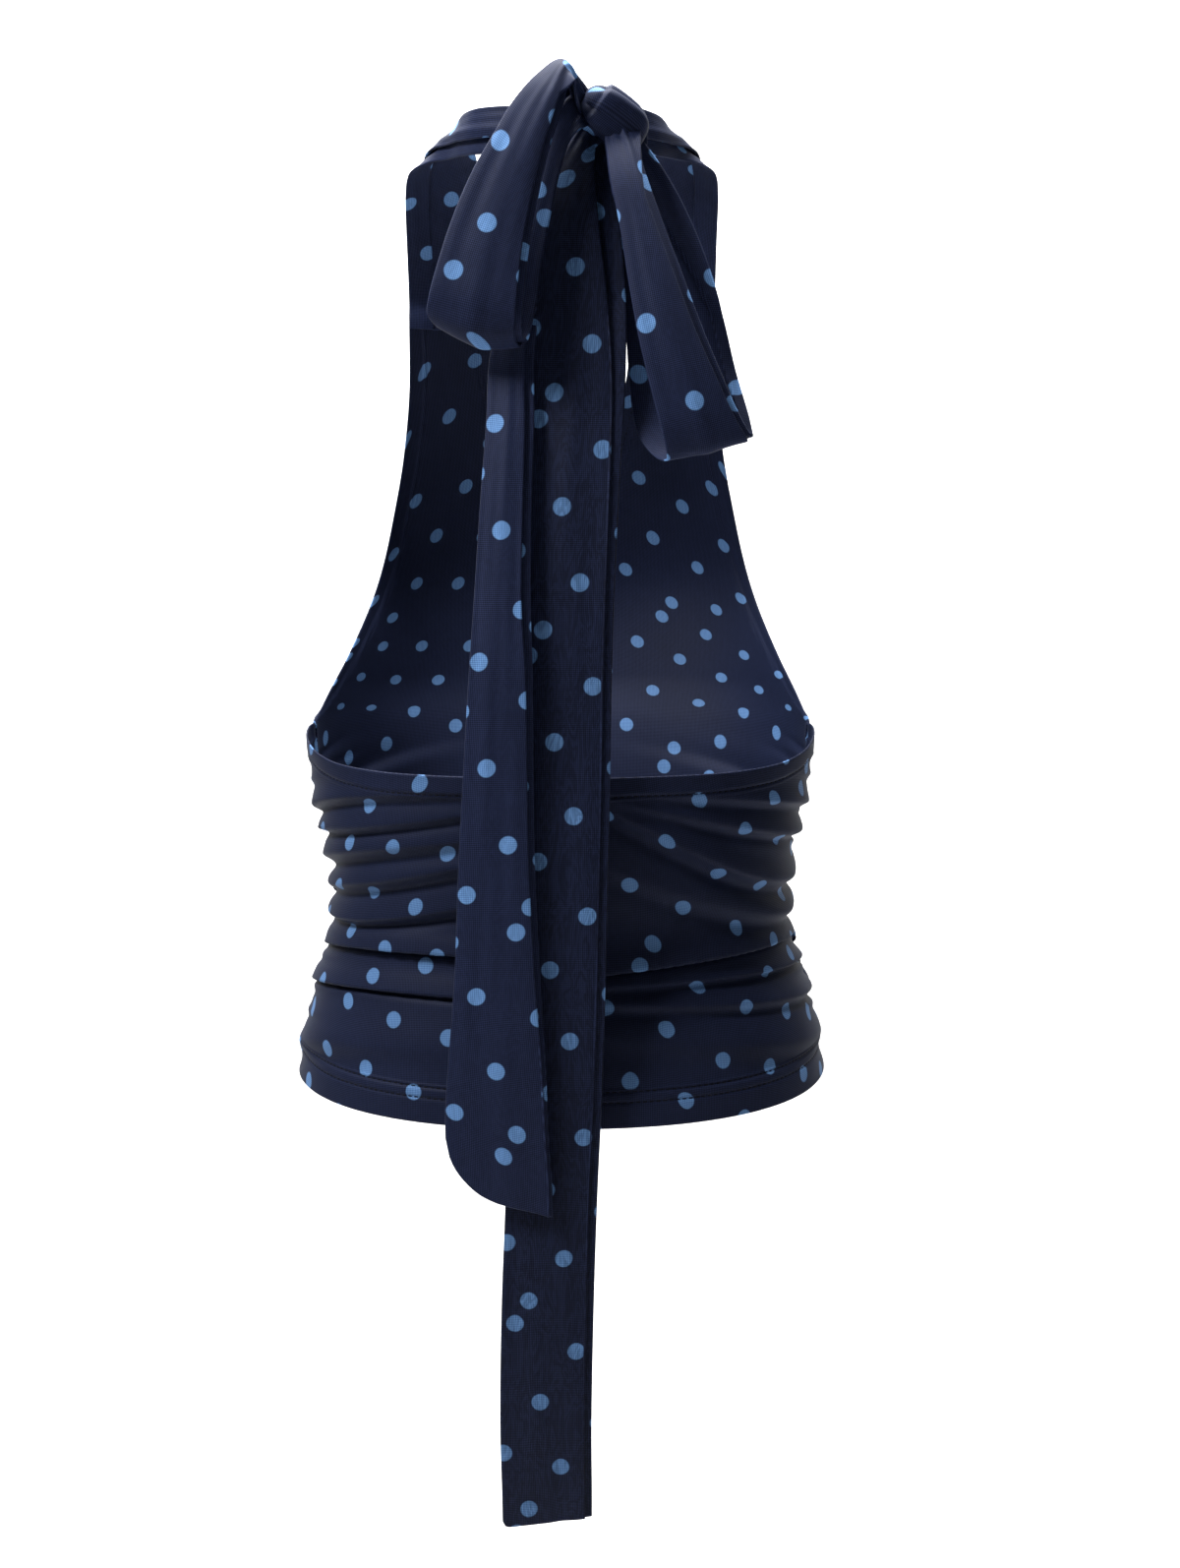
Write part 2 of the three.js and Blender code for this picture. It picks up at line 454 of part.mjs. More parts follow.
// Flat tie through its stations. The cloth bulges between its edges, and a pleat raises the
// part beside edge `a`. `outward` is 1 where along x across points out of the outer face.
function tie(table, steps, outward) {
  const stations = tieStations(table, steps);
  const rows = stations.map((station, i) => {
    const before = stations[Math.max(0, i - 1)];
    const after = stations[Math.min(steps, i + 1)];
    const along = after.a.clone().add(after.b).sub(before.a).sub(before.b);
    const across = station.b.clone().sub(station.a);
    const normal = along.cross(across).normalize().multiplyScalar(outward);
    return Array.from({ length: TIE_COLUMNS + 1 }, (_, c) => {
      const share = c / TIE_COLUMNS;
      const lift = station.bulge * Math.sin(Math.PI * share)
        + station.pleat * (1 - smooth((share - PLEAT_EDGE) * TIE_COLUMNS + 0.5));
      const point = station.a.clone().lerp(station.b, share);
      return pushOut({ point, normal: normal.clone() }, lift);
    });
  });
  const ordered = outward > 0 ? rows : rows.map((row) => row.reverse());
  return wall(gridPatch(ordered), TIE_CLOTH);
}

// Stations of the right strap, which lies a little wider on the shoulder than the left
const mirrored = (table) => table.map((row) => ({
  ...row,
  a: [-row.a[0] - (row.wider ?? 0), row.a[1], row.a[2]],
  b: [-row.b[0] - (row.wider ?? 0), row.b[1], row.b[2]],
}));

// Stations that lead a strap straight up out of the front panel's upper edge
function strapStart() {
  const edges = FRONT_EDGES.at(-1);
  return STRAP_START_RISES.map((rise) => {
    const z = STRAP_SEAM_Z + SEAM_GAP + rise;
    const at = (width) => torsoPoint(-1, angleAtWidth(width, STRAP_SEAM_Z), STRAP_SEAM_Z).point;
    const a = at(edges.neckline);
    const b = at(edges.armhole);
    return { a: [a.x, a.y, z], b: [b.x, b.y, z], bulge: START_BULGE, pleat: 0 };
  });
}

// Surface of the knot, grown outward by a clearance
function knotSurface(clearance) {
  const power = 2 / KNOT.squareness;
  const signedPower = (value) => Math.sign(value) * Math.abs(value) ** power;
  const leanAxis = new THREE.Vector3(0, 1, 0);
  const at = (polar, round) => {
    const pleat = 1 + KNOT.pleatRise * Math.sin(polar) * Math.cos(KNOT.pleats * round);
    const ring = signedPower(Math.sin(polar)) * pleat;
    const local = new THREE.Vector3(
      KNOT.along * signedPower(Math.cos(polar)),
      KNOT.depth * ring * signedPower(Math.cos(round)),
      KNOT.around * ring * signedPower(Math.sin(round)),
    );
    return local.setLength(local.length() + clearance).applyAxisAngle(leanAxis, KNOT.lean).add(KNOT.centre);
  };
  const points = [at(0, 0)];
  const index = [];
  for (let p = 1; p < KNOT_ALONG; p += 1) {
    for (let k = 0; k < KNOT_ROUND; k += 1) {
      points.push(at(Math.PI * p / KNOT_ALONG, 2 * Math.PI * k / KNOT_ROUND));
    }
  }
  points.push(at(Math.PI, 0));
  const ringPoint = (p, k) => 1 + (p - 1) * KNOT_ROUND + k % KNOT_ROUND;
  for (let k = 0; k < KNOT_ROUND; k += 1) {
    index.push(0, ringPoint(1, k), ringPoint(1, k + 1));
    for (let p = 1; p + 1 < KNOT_ALONG; p += 1) {
      index.push(ringPoint(p, k), ringPoint(p + 1, k), ringPoint(p + 1, k + 1));
      index.push(ringPoint(p, k), ringPoint(p + 1, k + 1), ringPoint(p, k + 1));
    }
    index.push(points.length - 1, ringPoint(KNOT_ALONG - 1, k + 1), ringPoint(KNOT_ALONG - 1, k));
  }
  const geometry = new THREE.BufferGeometry().setFromPoints(points);
  geometry.setIndex(index);
  return geometry;
}

function toSolid(geometry) {
  return new wasm.Manifold(new wasm.Mesh({
    numProp: 3,
    vertProperties: new Float32Array(geometry.attributes.position.array),
    triVerts: new Uint32Array(geometry.index.array),
  }));
}

function toGeometry(solid) {
  const mesh = solid.getMesh();
  const geometry = new THREE.BufferGeometry();
  geometry.setAttribute('position', new THREE.BufferAttribute(new Float32Array(mesh.vertProperties), 3));
  geometry.setIndex([...mesh.triVerts]);
  return geometry;
}

// The stretch of a tie outside the knot: its inner end is cut to the knot's surface
function cutAtKnot(geometry) {
  const pieces = toSolid(geometry).subtract(toSolid(knotSurface(KNOT_CLEARANCE))).decompose();
  const largest = pieces.reduce((best, piece) => (piece.volume() > best.volume() ? piece : best));
  return toGeometry(largest);
}

const top = new THREE.Group();

function addPiece(name, geometry) {
  const mesh = new THREE.Mesh(geometry, new THREE.MeshStandardMaterial(DOTTED_NAVY));
  mesh.name = name;
  geometry.computeVertexNormals();
  top.add(mesh);
}

addPiece('front_panel', frontPanel());
addPiece('back_panel', backPanel());
const strapLeft = [...strapStart(), ...STRAP, ...STRAP_LEFT_END];
const strapRight = mirrored([...strapStart(), ...STRAP, ...STRAP_RIGHT_END]);
addPiece('neck_strap_left', cutAtKnot(tie(strapLeft, TIE_STEPS.strapLeft, -1)));
addPiece('neck_strap_right', cutAtKnot(tie(strapRight, TIE_STEPS.strapRight, 1)));
addPiece('knot', knotSurface(0));
addPiece('loop_left', cutAtKnot(tie(LOOP_LEFT, TIE_STEPS.loopLeft, 1)));
addPiece('loop_right', cutAtKnot(tie(LOOP_RIGHT, TIE_STEPS.loopRight, 1)));
addPiece('tail_left', cutAtKnot(tie(TAIL_LEFT, TIE_STEPS.tail, 1)));
addPiece('tail_right', cutAtKnot(tie(TAIL_RIGHT, TIE_STEPS.tail, 1)));

export default top;
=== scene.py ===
# Looks of the halter neck top: thin folded cloth shells, a dotted net finish, stitches, stage and camera.
# Sizes are in millimetres, and MM turns them into metres where a mesh or an object is made.
import math

import bpy
import numpy as np
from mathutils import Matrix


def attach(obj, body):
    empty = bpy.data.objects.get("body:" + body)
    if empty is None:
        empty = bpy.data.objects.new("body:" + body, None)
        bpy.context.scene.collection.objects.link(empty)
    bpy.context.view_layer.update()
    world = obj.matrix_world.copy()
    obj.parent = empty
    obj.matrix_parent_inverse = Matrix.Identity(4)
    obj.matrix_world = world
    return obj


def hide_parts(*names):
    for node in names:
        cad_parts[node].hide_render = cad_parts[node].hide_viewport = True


MM = 0.001


def table(columns, *rows):
    """A short table as one array for each named column."""
    return dict(zip(columns.split(), np.array(rows, float).T))


# Driving sizes of the panels, as in the CAD
AXIS_Y = -70                # plane of the side seams
HEM_Z = -435                # lower edge of both panels
SQUARENESS = 2.3            # exponent of the torso sections
SEAM_GAP = 0.3              # between pieces that meet
NECKLINE_LOW_Z = -178       # point of the V
STRAP_SEAM_Z = -55          # upper edge of the front, where the straps start
EDGE_TURNING = 9.3          # depth of the turned top edge
HEM_TURNING = 17            # depth of the hem, with a second stitch line inside it
HEM_INNER_STITCH = 11       # height of that line above the hem's edge
PANEL_CLOTH = 0.9           # thickness of the two layers of mesh
TIE_CLOTH = 0.8             # thickness of a tie's cloth
TIE_WIDTH = 42              # a tie's true width, laid flat
HALF_PANEL = 150            # about the way round a panel from its centre to a side seam
CHEST_RADIUS = 115          # turns angles round the front into lengths

# Torso sections of a general figure: half width, and depths before and behind the seam plane
FIGURE = table(
    "z half_width front back",
    (-440, 136.0, 95, 108),
    (-416, 131.5, 93, 105),
    (-399, 127.5, 90, 102),
    (-384, 122.5, 87, 98),
    (-366, 116.2, 84, 93),
    (-350, 114.8, 84, 92),
    (-330, 115.8, 86, 95),
    (-310, 119.0, 90, 98),
    (-290, 124.0, 95, 100),
    (-270, 126.5, 102, 102),
    (-244, 127.0, 116, 104),
    (-195, 132.0, 126, 105),
    (-150, 137.0, 113, 105),
    (-100, 140.0, 88, 100),
    (-50, 128.0, 57, 90),
)

# Height of the back's top edge, by share of the way from the centre to the side seam
BACK_TOP = table(
    "share z",
    (0.00, -277.0),
    (0.35, -276.5),
    (0.55, -275.0),
    (0.70, -271.5),
    (0.85, -266.5),
    (1.00, -262.0),
)

# Half widths of the front at its armhole edge and at its neckline
FRONT_EDGES = table(
    "z armhole neckline",
    (-262, 127.0, 0),
    (-250, 124.0, 0),
    (-230, 117.0, 0),
    (-200, 107.0, 0),
    (-178, 101.0, 0),
    (-150, 94.5, 13),
    (-120, 88.0, 25),
    (-85, 82.5, 34),
    (-55, 80.0, 38),
)

# Drape folds: crest heights and rises near the centre (inner), half way (mid) and at the seam. `above` and
# `below` are the widths of a fold's two sides, and `crisp` is how sharply its lower side is creased.
FOLD_COLUMNS = "side inner_z mid_z seam_z inner mid seam above below crisp"
BACK_FOLDS = table(
    FOLD_COLUMNS,
    (1, -284, -287, -302, 0.3, 1.6, 3.0, 5.0, 3.6, 0.5),
    (1, -291, -301, -311, 0.8, 2.0, 2.8, 5.0, 3.2, 0.6),
    (1, -303, -312, -326, 1.0, 2.2, 3.6, 6.0, 4.5, 0.4),
    (1, -313, -327, -339, 1.2, 2.4, 2.6, 6.0, 4.5, 0.4),
    (1, -332, -345, -352, 1.2, 2.6, 3.2, 6.5, 4.0, 0.5),
    (1, -357, -358, -369, 3.4, 3.6, 4.0, 6.5, 3.2, 1.0),
    (1, -377, -377, -388, 2.2, 2.8, 4.0, 6.5, 3.6, 0.9),
    (1, -402, -404, -424, 0.0, 0.8, 1.6, 9.0, 6.0, 0.1),
    (-1, -282, -289, -299, 0.2, 1.5, 2.6, 4.5, 3.2, 0.4),
    (-1, -286, -302, -312, 0.6, 1.8, 3.2, 5.0, 3.4, 0.5),
    (-1, -291, -322, -333, 2.6, 2.8, 3.2, 8.0, 4.6, 0.2),
    (-1, -318, -341, -350, 0.8, 1.7, 3.2, 8.0, 5.0, 0.2),
    (-1, -364, -361, -364, 3.6, 3.0, 3.4, 6.5, 3.2, 1.0),
    (-1, -372, -372, -378, 1.8, 2.2, 3.2, 4.0, 3.4, 0.6),
    (-1, -380, -385, -395, 1.4, 1.6, 2.4, 5.0, 3.6, 0.3),
    (-1, -394, -404, -417, 0.6, 0.9, 1.8, 8.0, 6.0, 0.1),
)
FRONT_FOLDS = table(
    FOLD_COLUMNS,
    (1, -277, -284, -302, 0.0, 0.8, 3.0, 7.0, 5.0, 0.4),
    (1, -300, -306, -324, 0.0, 1.4, 3.2, 7.5, 5.0, 0.4),
    (1, -322, -329, -345, 0.3, 1.8, 3.2, 8.0, 5.0, 0.5),
    (1, -346, -352, -366, 0.6, 2.0, 3.8, 8.0, 5.0, 0.6),
    (1, -372, -376, -388, 0.3, 1.4, 3.6, 8.0, 5.0, 0.5),
    (1, -404, -408, -422, 0.0, 0.6, 2.2, 9.0, 6.0, 0.2),
    (-1, -280, -290, -308, 0.0, 1.0, 3.0, 7.0, 5.0, 0.4),
    (-1, -305, -314, -331, 0.2, 1.6, 3.2, 8.0, 5.0, 0.5),
    (-1, -334, -341, -352, 0.6, 2.0, 3.4, 8.0, 5.0, 0.6),
    (-1, -358, -362, -372, 0.3, 1.6, 3.6, 7.5, 5.0, 0.5),
    (-1, -384, -388, -396, 0.0, 1.0, 2.8, 8.0, 5.0, 0.3),
)
FOLD_SHARES = (0.10, 0.45, 0.95)
TROUGH_DEPTH = 0.60         # of the crease under a fold, as a share of its rise
TROUGH_DISTANCE = 1.7       # of that crease below the crest, in widths of the fold's lower side
CRISP_WIDTH = 0.5           # share by which a fully crisp fold's lower side narrows
CRISP_DROOP = 0.75          # how far a fully crisp crest hangs down over its crease, as a share of its rise
CUSP = 0.8                  # how much a fully crisp crest is a ridge and not a roll
FOLD_GAIN = 1.25            # of the soft cloth's folds over the CAD's plainer ones
CENTRE_BLEND = 0.09         # share from the centre line within which one side's folds fade out
DROOP_SPREAD = 1.3          # of a crest's droop, in widths of the fold's lower side
DROOP_FADE = 20             # height above the hem's edge over which the droop grows
ROW_DROP = 34               # how much lower the back's rows of points run at the side seams, as its folds do
ROW_DROP_START = 0.22       # share of the height over which that drop grows

# Small gathers between the folds, run out from each side seam: height at the seam, how far they climb
# towards the centre, their rise at the seam, and the share of the half panel that they cross
GATHERS = table(
    "side seam_z climb rise reach",
    (1, -281, 9, 1.0, 0.30),
    (1, -291, 12, 1.3, 0.42),
    (1, -317, 14, 1.0, 0.34),
    (1, -333, 10, 1.1, 0.26),
    (1, -345, 12, 1.0, 0.38),
    (1, -360, 7, 1.2, 0.28),
    (1, -380, 9, 1.3, 0.36),
    (1, -397, 10, 1.2, 0.30),
    (1, -409, 12, 1.0, 0.38),
    (-1, -278, 7, 1.0, 0.30),
    (-1, -288, 11, 1.2, 0.40),
    (-1, -305, 9, 1.1, 0.28),
    (-1, -322, 15, 1.2, 0.42),
    (-1, -341, 10, 1.0, 0.30),
    (-1, -357, 8, 1.2, 0.34),
    (-1, -371, 8, 1.2, 0.30),
    (-1, -387, 10, 1.2, 0.40),
    (-1, -406, 12, 1.0, 0.34),
)
GATHER_WIDTH = 2.2
GATHER_TROUGH_DEPTH = 0.5   # as a share of the gather's rise
GATHER_TROUGH_DISTANCE = 1.6    # below its crest, in gather widths
SEAM_TUCK = 1.0             # how far the cloth dips into the side seam
SEAM_TUCK_WIDTH = 2.5

# Turned edges and their stitches
EDGE_PROUD = 0.7            # how far a turned edge stands out
EDGE_STEP = 1.2             # width of the step down from it
STITCH_INSET = 1.2          # from the inner end of the turning to its stitches
GROOVE_DEPTH = 0.8          # of the groove that the stitches pull
GROOVE_WIDTH = 0.8
HEM_GROOVE_DEPTH = 0.5      # of the groove of the hem's inner stitch line
HEM_GROOVE_WIDTH = 0.7
STITCH_PITCH = 3.1
STITCH_LENGTH = 2.1
STITCH_RADIUS = 0.32
STITCHED_SHARE = 0.985      # how far towards the side seams the stitches run
BACK_FINE_BANDS = ((0.03, 0.09), (0.87, 0.95))  # shares of the height where the rows of points lie closer
FRONT_FINE_BANDS = ((0.04, 0.12),)

# The ties: two edges of the cloth in space, how far its middle bulges, and the place of its lengthwise
# crease as a share of the visible width
TIE_COLUMNS = "ax ay az bx by bz bulge crease"
STRAP = (
    (39, -108, -6, 78.5, -101, -16, 1.5, 0.72),
    (41, -87, 12.5, 77, -84, 0, 2.0, 0.72),
    (43, -66, 18.5, 73, -67, 6, 2.0, 0.72),
    (45.5, -48, 19, 64, -54, 6.5, 1.5, 0.72),
    (45, -34, 18, 54, -41, 3.5, 1.0, 0.70),
    (41, -22, 17, 46.5, -27, 0.5, 0.8, 0.66),
    (34, -10.5, 15, 36, -12, -3, 0.6, 0.64),
)
STRAP_LEFT_END = (
    (20, -1.8, 13, 21, -2, -5.5, 0.5, 0.66),
    (4, 1.3, 11, 4, 1.3, -6.5, 0.3, 0.70),
    (-8, 3.5, 9, -8, 4, -6, 0.3, 0.70),
    (-17, 8, 7, -17, 8, -5, 0.3, 0.70),
)
STRAP_RIGHT_END = (
    (33, -4, 9.5, 33, -4, -5, 0.6, 0.60),
    (27, 4, 7.5, 27, 4, -4.5, 0.4, 0.56),
    (22, 10, 6, 22, 10, -4, 0.2, 0.50),
)
STRAP_WIDER = (0.5, 1.5, 2.5, 3.0, 3.0, 1.5, 0.0)   # how much further out the right strap lies
STRAP_STARTS = ((-4, 1.6), (0, 1.6), (9, 0))    # height from the seam, and how far inside the front's face
START_BULGE = 1.2
START_CREASE = 0.72
LOOP_LEFT = (
    (-18, 15, 9, -16, 16, -3, 0.0, 0.80),
    (-9.5, 21, 18, -10, 25, 7, 1.6, 0.82),
    (-3, 26, 22.6, -6.5, 32, 15.5, 1.4, 0.84),
    (7, 33, 14.5, -3.5, 37.5, 3, 1.6, 0.87),
    (16.5, 38, 2.5, 1.2, 41, -13, 1.8, 0.89),
    (24, 42, -11, 4.5, 43.5, -26, 1.8, 0.90),
    (32, 44.5, -25, 7, 45.5, -38, 1.7, 0.91),
    (40, 47, -43, 10, 47.5, -54, 1.6, 0.92),
    (46, 48.5, -60, 12, 49, -69, 1.5, 0.93),
    (51, 48.4, -77, 13.7, 49, -86, 1.4, 0.94),
    (52, 44.5, -83.5, 14, 45, -92, 3.6, 0.94),
    (46, 39, -88, 12, 39, -94.5, 4.4, 0.94),
    (39, 34.5, -72, 8.5, 35, -80, 1.6, 0.92),
    (31, 31, -52, 5.5, 32, -59, 1.0, 0.90),
    (22, 28, -32, 1.5, 29, -39, 0.8, 0.88),
    (13, 26, -6, -3, 27.5, -20, 1.2, 0.86),
    (2, 25, 15, -7.5, 26, -8, 1.4, 0.84),
    (-6, 20, 17, -13, 21, -3, 0.8, 0.80),
    (-15, 15.5, 9, -17, 16.5, -1, 0.0, 0.80),
)
LOOP_RIGHT = (
    (-19, 18, 5, -28, 17, 4, 0.0, 0.60),
    (-21.5, 29.5, -13, -34.5, 27, -11, 1.5, 0.64),
    (-23, 35.5, -26, -39, 33, -26, 2.0, 0.70),
    (-27, 40, -47, -46, 37, -46, 2.4, 0.76),
    (-30.5, 43, -69, -53, 40, -65, 2.6, 0.82),
    (-35, 46, -93, -61, 42, -86, 2.4, 0.86),
    (-40, 47, -113, -69.5, 43, -106, 2.0, 0.90),
    (-45, 46.5, -131, -77, 42, -122, 1.5, 0.92),
    (-47, 42, -141, -83, 38.5, -132, 1.0, 0.94),
    (-42, 33, -139, -83.5, 33, -131, 1.0, 0.94),
    (-35, 26, -128, -82, 28.5, -122, 1.6, 0.94),
    (-31.5, 22, -104, -77, 21, -103, 1.8, 0.92),
    (-30, 19, -78, -71, 18, -78, 1.6, 0.90),
    (-28.5, 17, -54, -63, 16, -53, 1.4, 0.86),
    (-27, 15, -30, -52, 13.5, -29, 1.2, 0.80),
    (-25, 12.5, -12, -40.5, 12, -11, 0.6, 0.70),
    (-22, 11, 3, -30, 11, 2, 0.0, 0.60),
)
TAIL_LEFT = (
    (-13, 12, 4, -19, 12, 3, 0.0, 0.60),
    (-4, 14.5, -14, -14, 14.5, -15, 0.6, 0.66),
    (4, 19, -34, -7, 19, -35, 0.8, 0.70),
    (17, 23.5, -65, 5, 24, -65, 1.0, 0.76),
    (27, 30, -94, 9.5, 34, -94, 1.0, 0.82),
    (29, 36, -125, 9.5, 39.5, -125, 1.2, 0.84),
    (31.5, 41, -159, 10.5, 43.5, -159, 1.4, 0.86),
    (34, 44.5, -196, 11, 47, -196, 1.4, 0.86),
    (36.5, 47, -230, 10.2, 49.5, -230, 1.4, 0.91),
    (39.5, 48, -275, 10, 50, -275, 1.4, 0.93),
    (42, 49, -316, 9.5, 51, -316, 1.3, 0.94),
    (44, 50, -361, 7.5, 52, -361, 1.2, 0.95),
    (47, 51, -398, 5, 52.5, -403, 1.0, 0.97),
    (48.8, 51.5, -424, 4, 53, -432, 0.8, 0.98),
    (48.5, 52, -444, 2.5, 53, -456, 0.5, 0.98),
    (48, 52, -458, 2.5, 53, -470, 0.2, 0.98),
)
TAIL_RIGHT = (
    (-14, 16, 4, -23, 16, 3, 0.0, 0.60),
    (-3.5, 20, -13, -23.5, 20, -13, 0.8, 0.66),
    (6.5, 24, -38, -26.5, 24.5, -38, 1.2, 0.74),
    (10.5, 27.5, -78, -29.5, 29.5, -78, 1.2, 0.82),
    (12.5, 30.5, -114, -29, 33, -114, 1.0, 0.88),
    (15, 35, -156, -26.5, 36, -156, 1.0, 0.91),
    (17.5, 38.5, -217, -24, 40, -217, 1.0, 0.92),
    (19, 41, -276, -23, 42.5, -276, 0.8, 0.92),
    (20.5, 43, -339, -21.7, 44, -339, 0.8, 0.92),
    (21.5, 45, -407, -20, 45.5, -407, 0.8, 0.92),
    (23, 46.5, -466, -17.5, 47, -466, 0.8, 0.92),
    (25, 48, -515, -16, 48.5, -515, 0.8, 0.93),
    (26, 49.5, -571, -15, 50, -571, 0.6, 0.93),
    (25.4, 50, -606, -15.2, 50, -604, 0.4, 0.93),
    (25.2, 50, -622, -15.2, 50, -617, 0.0, 0.93),
)

# Radius of the rounded corner of a tail's end, at the edge that is named first
TAIL_CORNERS = {"tail_left": 24, "tail_right": 3}

# How the cloth of a tie is folded and gathered
PLY = 1.1                   # from one layer of a lengthwise fold to the next
LEAST_OVERLAP = 0.4         # of the two layers at a crease
EDGE_FADE = 8               # pleats and streaks fade out within one part in this many of the width
PLEATS = 3                  # soft pleats where a tie is gathered into the knot
PLEAT_RISE = 0.9
PLEAT_REACH = 24            # how far from the knot they fade
STREAK_RUN = 50             # length over which a streak shifts sideways by its drift
STREAKS = table(
    "waves phase drift rise",
    (1.6, 0.10, 0.13, 0.20),
    (2.7, 0.55, -0.21, 0.14),
    (4.3, 0.30, 0.29, 0.06),
)

# The knot
KNOT_CENTRE = (-23.2, 15.5, 1.0)
KNOT_ALONG = 15.4           # half length from pole to pole
KNOT_AROUND = 12.6          # half height
KNOT_DEPTH = 13.4           # half depth
KNOT_LEAN = -0.52           # turn of the pole axis, right end down, in radians
KNOT_TURN = 0.35            # turn of the pole axis, left end towards the wearer's back
KNOT_SQUARENESS = 2.9
KNOT_PLEATS = 6
KNOT_PLEAT_RISE = 0.07      # share of the radius
KNOT_PLEAT_BUNCHING = 0.9   # how unevenly the pleats are spaced, and where they bunch
KNOT_PLEAT_BUNCHED_AT = 0.6
KNOT_PLEAT_SLANT = 0.5
KNOT_RIM = -0.72            # place of the wrap's lower rim around the pole axis
KNOT_RIM_WIDTH = 0.1
KNOT_RIM_REACH = 2.0        # how far round the cloth under the rim lies lower
KNOT_RIM_STEP = 3.6         # drop from the rim to the cloth under it
KNOT_TUCK = 0.62            # where the wrap's left end goes under, as a share of the half length
KNOT_TUCK_SLANT = 0.12
KNOT_TUCK_WIDTH = 0.09
KNOT_TUCK_STEP = 1.8
KNOT_CLOTH_ORIGIN = (27, -4)    # places the dots on the wrap

# The print: one repeat of scattered dots, charted in millimetres
REPEAT = (100, 100)
DOTS = (
    (7, 9), (36, 4), (64, 17), (90, 27),
    (20, 33), (48, 41), (76, 52), (4, 57),
    (31, 66), (57, 73), (87, 80), (14, 88), (42, 93),
)
DOT_RADIUS = 3.9
DOT_EDGE = 0.35             # softness of a dot's rim
NET_PITCH = 1.15            # of the net's holes, which run at 45 degrees
WATER_STRETCH = (0.16, 0.035, 1)    # of the noise behind the watered bands, across and along the cloth
WATER_BANDS = 46.0          # how closely they follow each other
CLOUD_SCALE = 0.03

# Camera of the photograph: place, downward pitch and focal length in pixels of the 1200 by 1594 frame
CAMERA_AT = (-14.6, 639, -195)
CAMERA_PITCH = 7.9
FOCAL_PIXELS = 1420
FRAME_HEIGHT = 1594
SENSOR = 36
FLOOR_Z = -1300

# Lamps, in metres and watts: place, aim, diameter and power
TOP_MIDDLE = (0, 0, -0.25)
LAMPS = (
    ("key", (0.85, 0.52, 0.85), TOP_MIDDLE, 0.45, 32),
    ("fill", (-1.3, 1.3, 0.1), TOP_MIDDLE, 1.2, 3),
    ("front", (0.5, -1.2, 0.9), TOP_MIDDLE, 0.8, 9),
    ("backdrop", (0, -0.3, 1.3), (0, -1.6, -0.5), 1.0, 108),
)
WORLD_STRENGTH = 0.05


def smooth(value):
    value = np.clip(value, 0, 1)
    return value ** 2 * (3 - 2 * value)


def mix(low, high, share):
    return low + (high - low) * share


def table_value(rows, key_name, column, key):
    """Smooth value of a column at keys, by cubic pieces with limited slopes. The key column rises."""
    keys, values = rows[key_name], rows[column]
    slopes = np.diff(values) / np.diff(keys)
    product, total = slopes[:-1] * slopes[1:], slopes[:-1] + slopes[1:]
    inner = np.where(product > 0, 2 * product / np.where(total == 0, 1, total), 0)
    tangents = np.concatenate([slopes[:1], inner, slopes[-1:]])
    key = np.clip(key, keys[0], keys[-1])
    i = np.clip(np.searchsorted(keys, key, side="right") - 1, 0, len(keys) - 2)
    span = keys[i + 1] - keys[i]
    t = (key - keys[i]) / span
    start = (1 + 2 * t) * (1 - t) ** 2 * values[i] + t * (1 - t) ** 2 * span * tangents[i]
    end = t * t * (3 - 2 * t) * values[i + 1] + t * t * (t - 1) * span * tangents[i + 1]
    return start + end


def unit(vectors):
    return vectors / np.maximum(np.linalg.norm(vectors, axis=-1, keepdims=True), 1e-9)


def run_lengths(points, axis):
    """Length from the first point along an axis of a grid of points."""
    steps = np.linalg.norm(np.diff(points, axis=axis), axis=-1)
    return np.concatenate([np.zeros_like(np.take(steps, [0], axis)), np.cumsum(steps, axis)], axis)


def torso(face, angle, z):
    """Points of the torso at angles from the centre line to a seam, behind (1) or before (-1) the seam
    plane, with their outward directions."""
    half_width = table_value(FIGURE, "z", "half_width", z)
    depth = table_value(FIGURE, "z", "back" if face > 0 else "front", z)
    across = np.sign(angle) * np.abs(np.sin(angle)) ** (2 / SQUARENESS)
    deep = np.maximum(np.cos(angle), 0) ** (2 / SQUARENESS)
    normals = np.stack([
        np.sign(across) * np.abs(across) ** (SQUARENESS - 1) / half_width,
        face * deep ** (SQUARENESS - 1) / depth,
        np.zeros_like(half_width * across),
    ], axis=-1)
    y = AXIS_Y + face * (depth * deep + SEAM_GAP / 2)
    points = np.stack([half_width * across, y, z + 0 * across], axis=-1)
    return points, unit(normals)


def angle_at_width(width, z):
    share = np.clip(width / table_value(FIGURE, "z", "half_width", z), 0, 1)
    return np.arcsin(share ** (SQUARENESS / 2))


def edge_angle(edge, z):
    """Angle of the front's armhole or neckline at heights."""
    return angle_at_width(table_value(FRONT_EDGES, "z", edge, z), z)


def along_fold(share, inner, mid, seam):
    """Values at shares from centre to seam, by the parabola through those at FOLD_SHARES."""
    s0, s1, s2 = FOLD_SHARES
    first = (share - s1) * (share - s2) / ((s0 - s1) * (s0 - s2))
    second = (share - s0) * (share - s2) / ((s1 - s0) * (s1 - s2))
    third = (share - s0) * (share - s1) / ((s2 - s0) * (s2 - s1))
    return inner * first + mid * second + seam * third


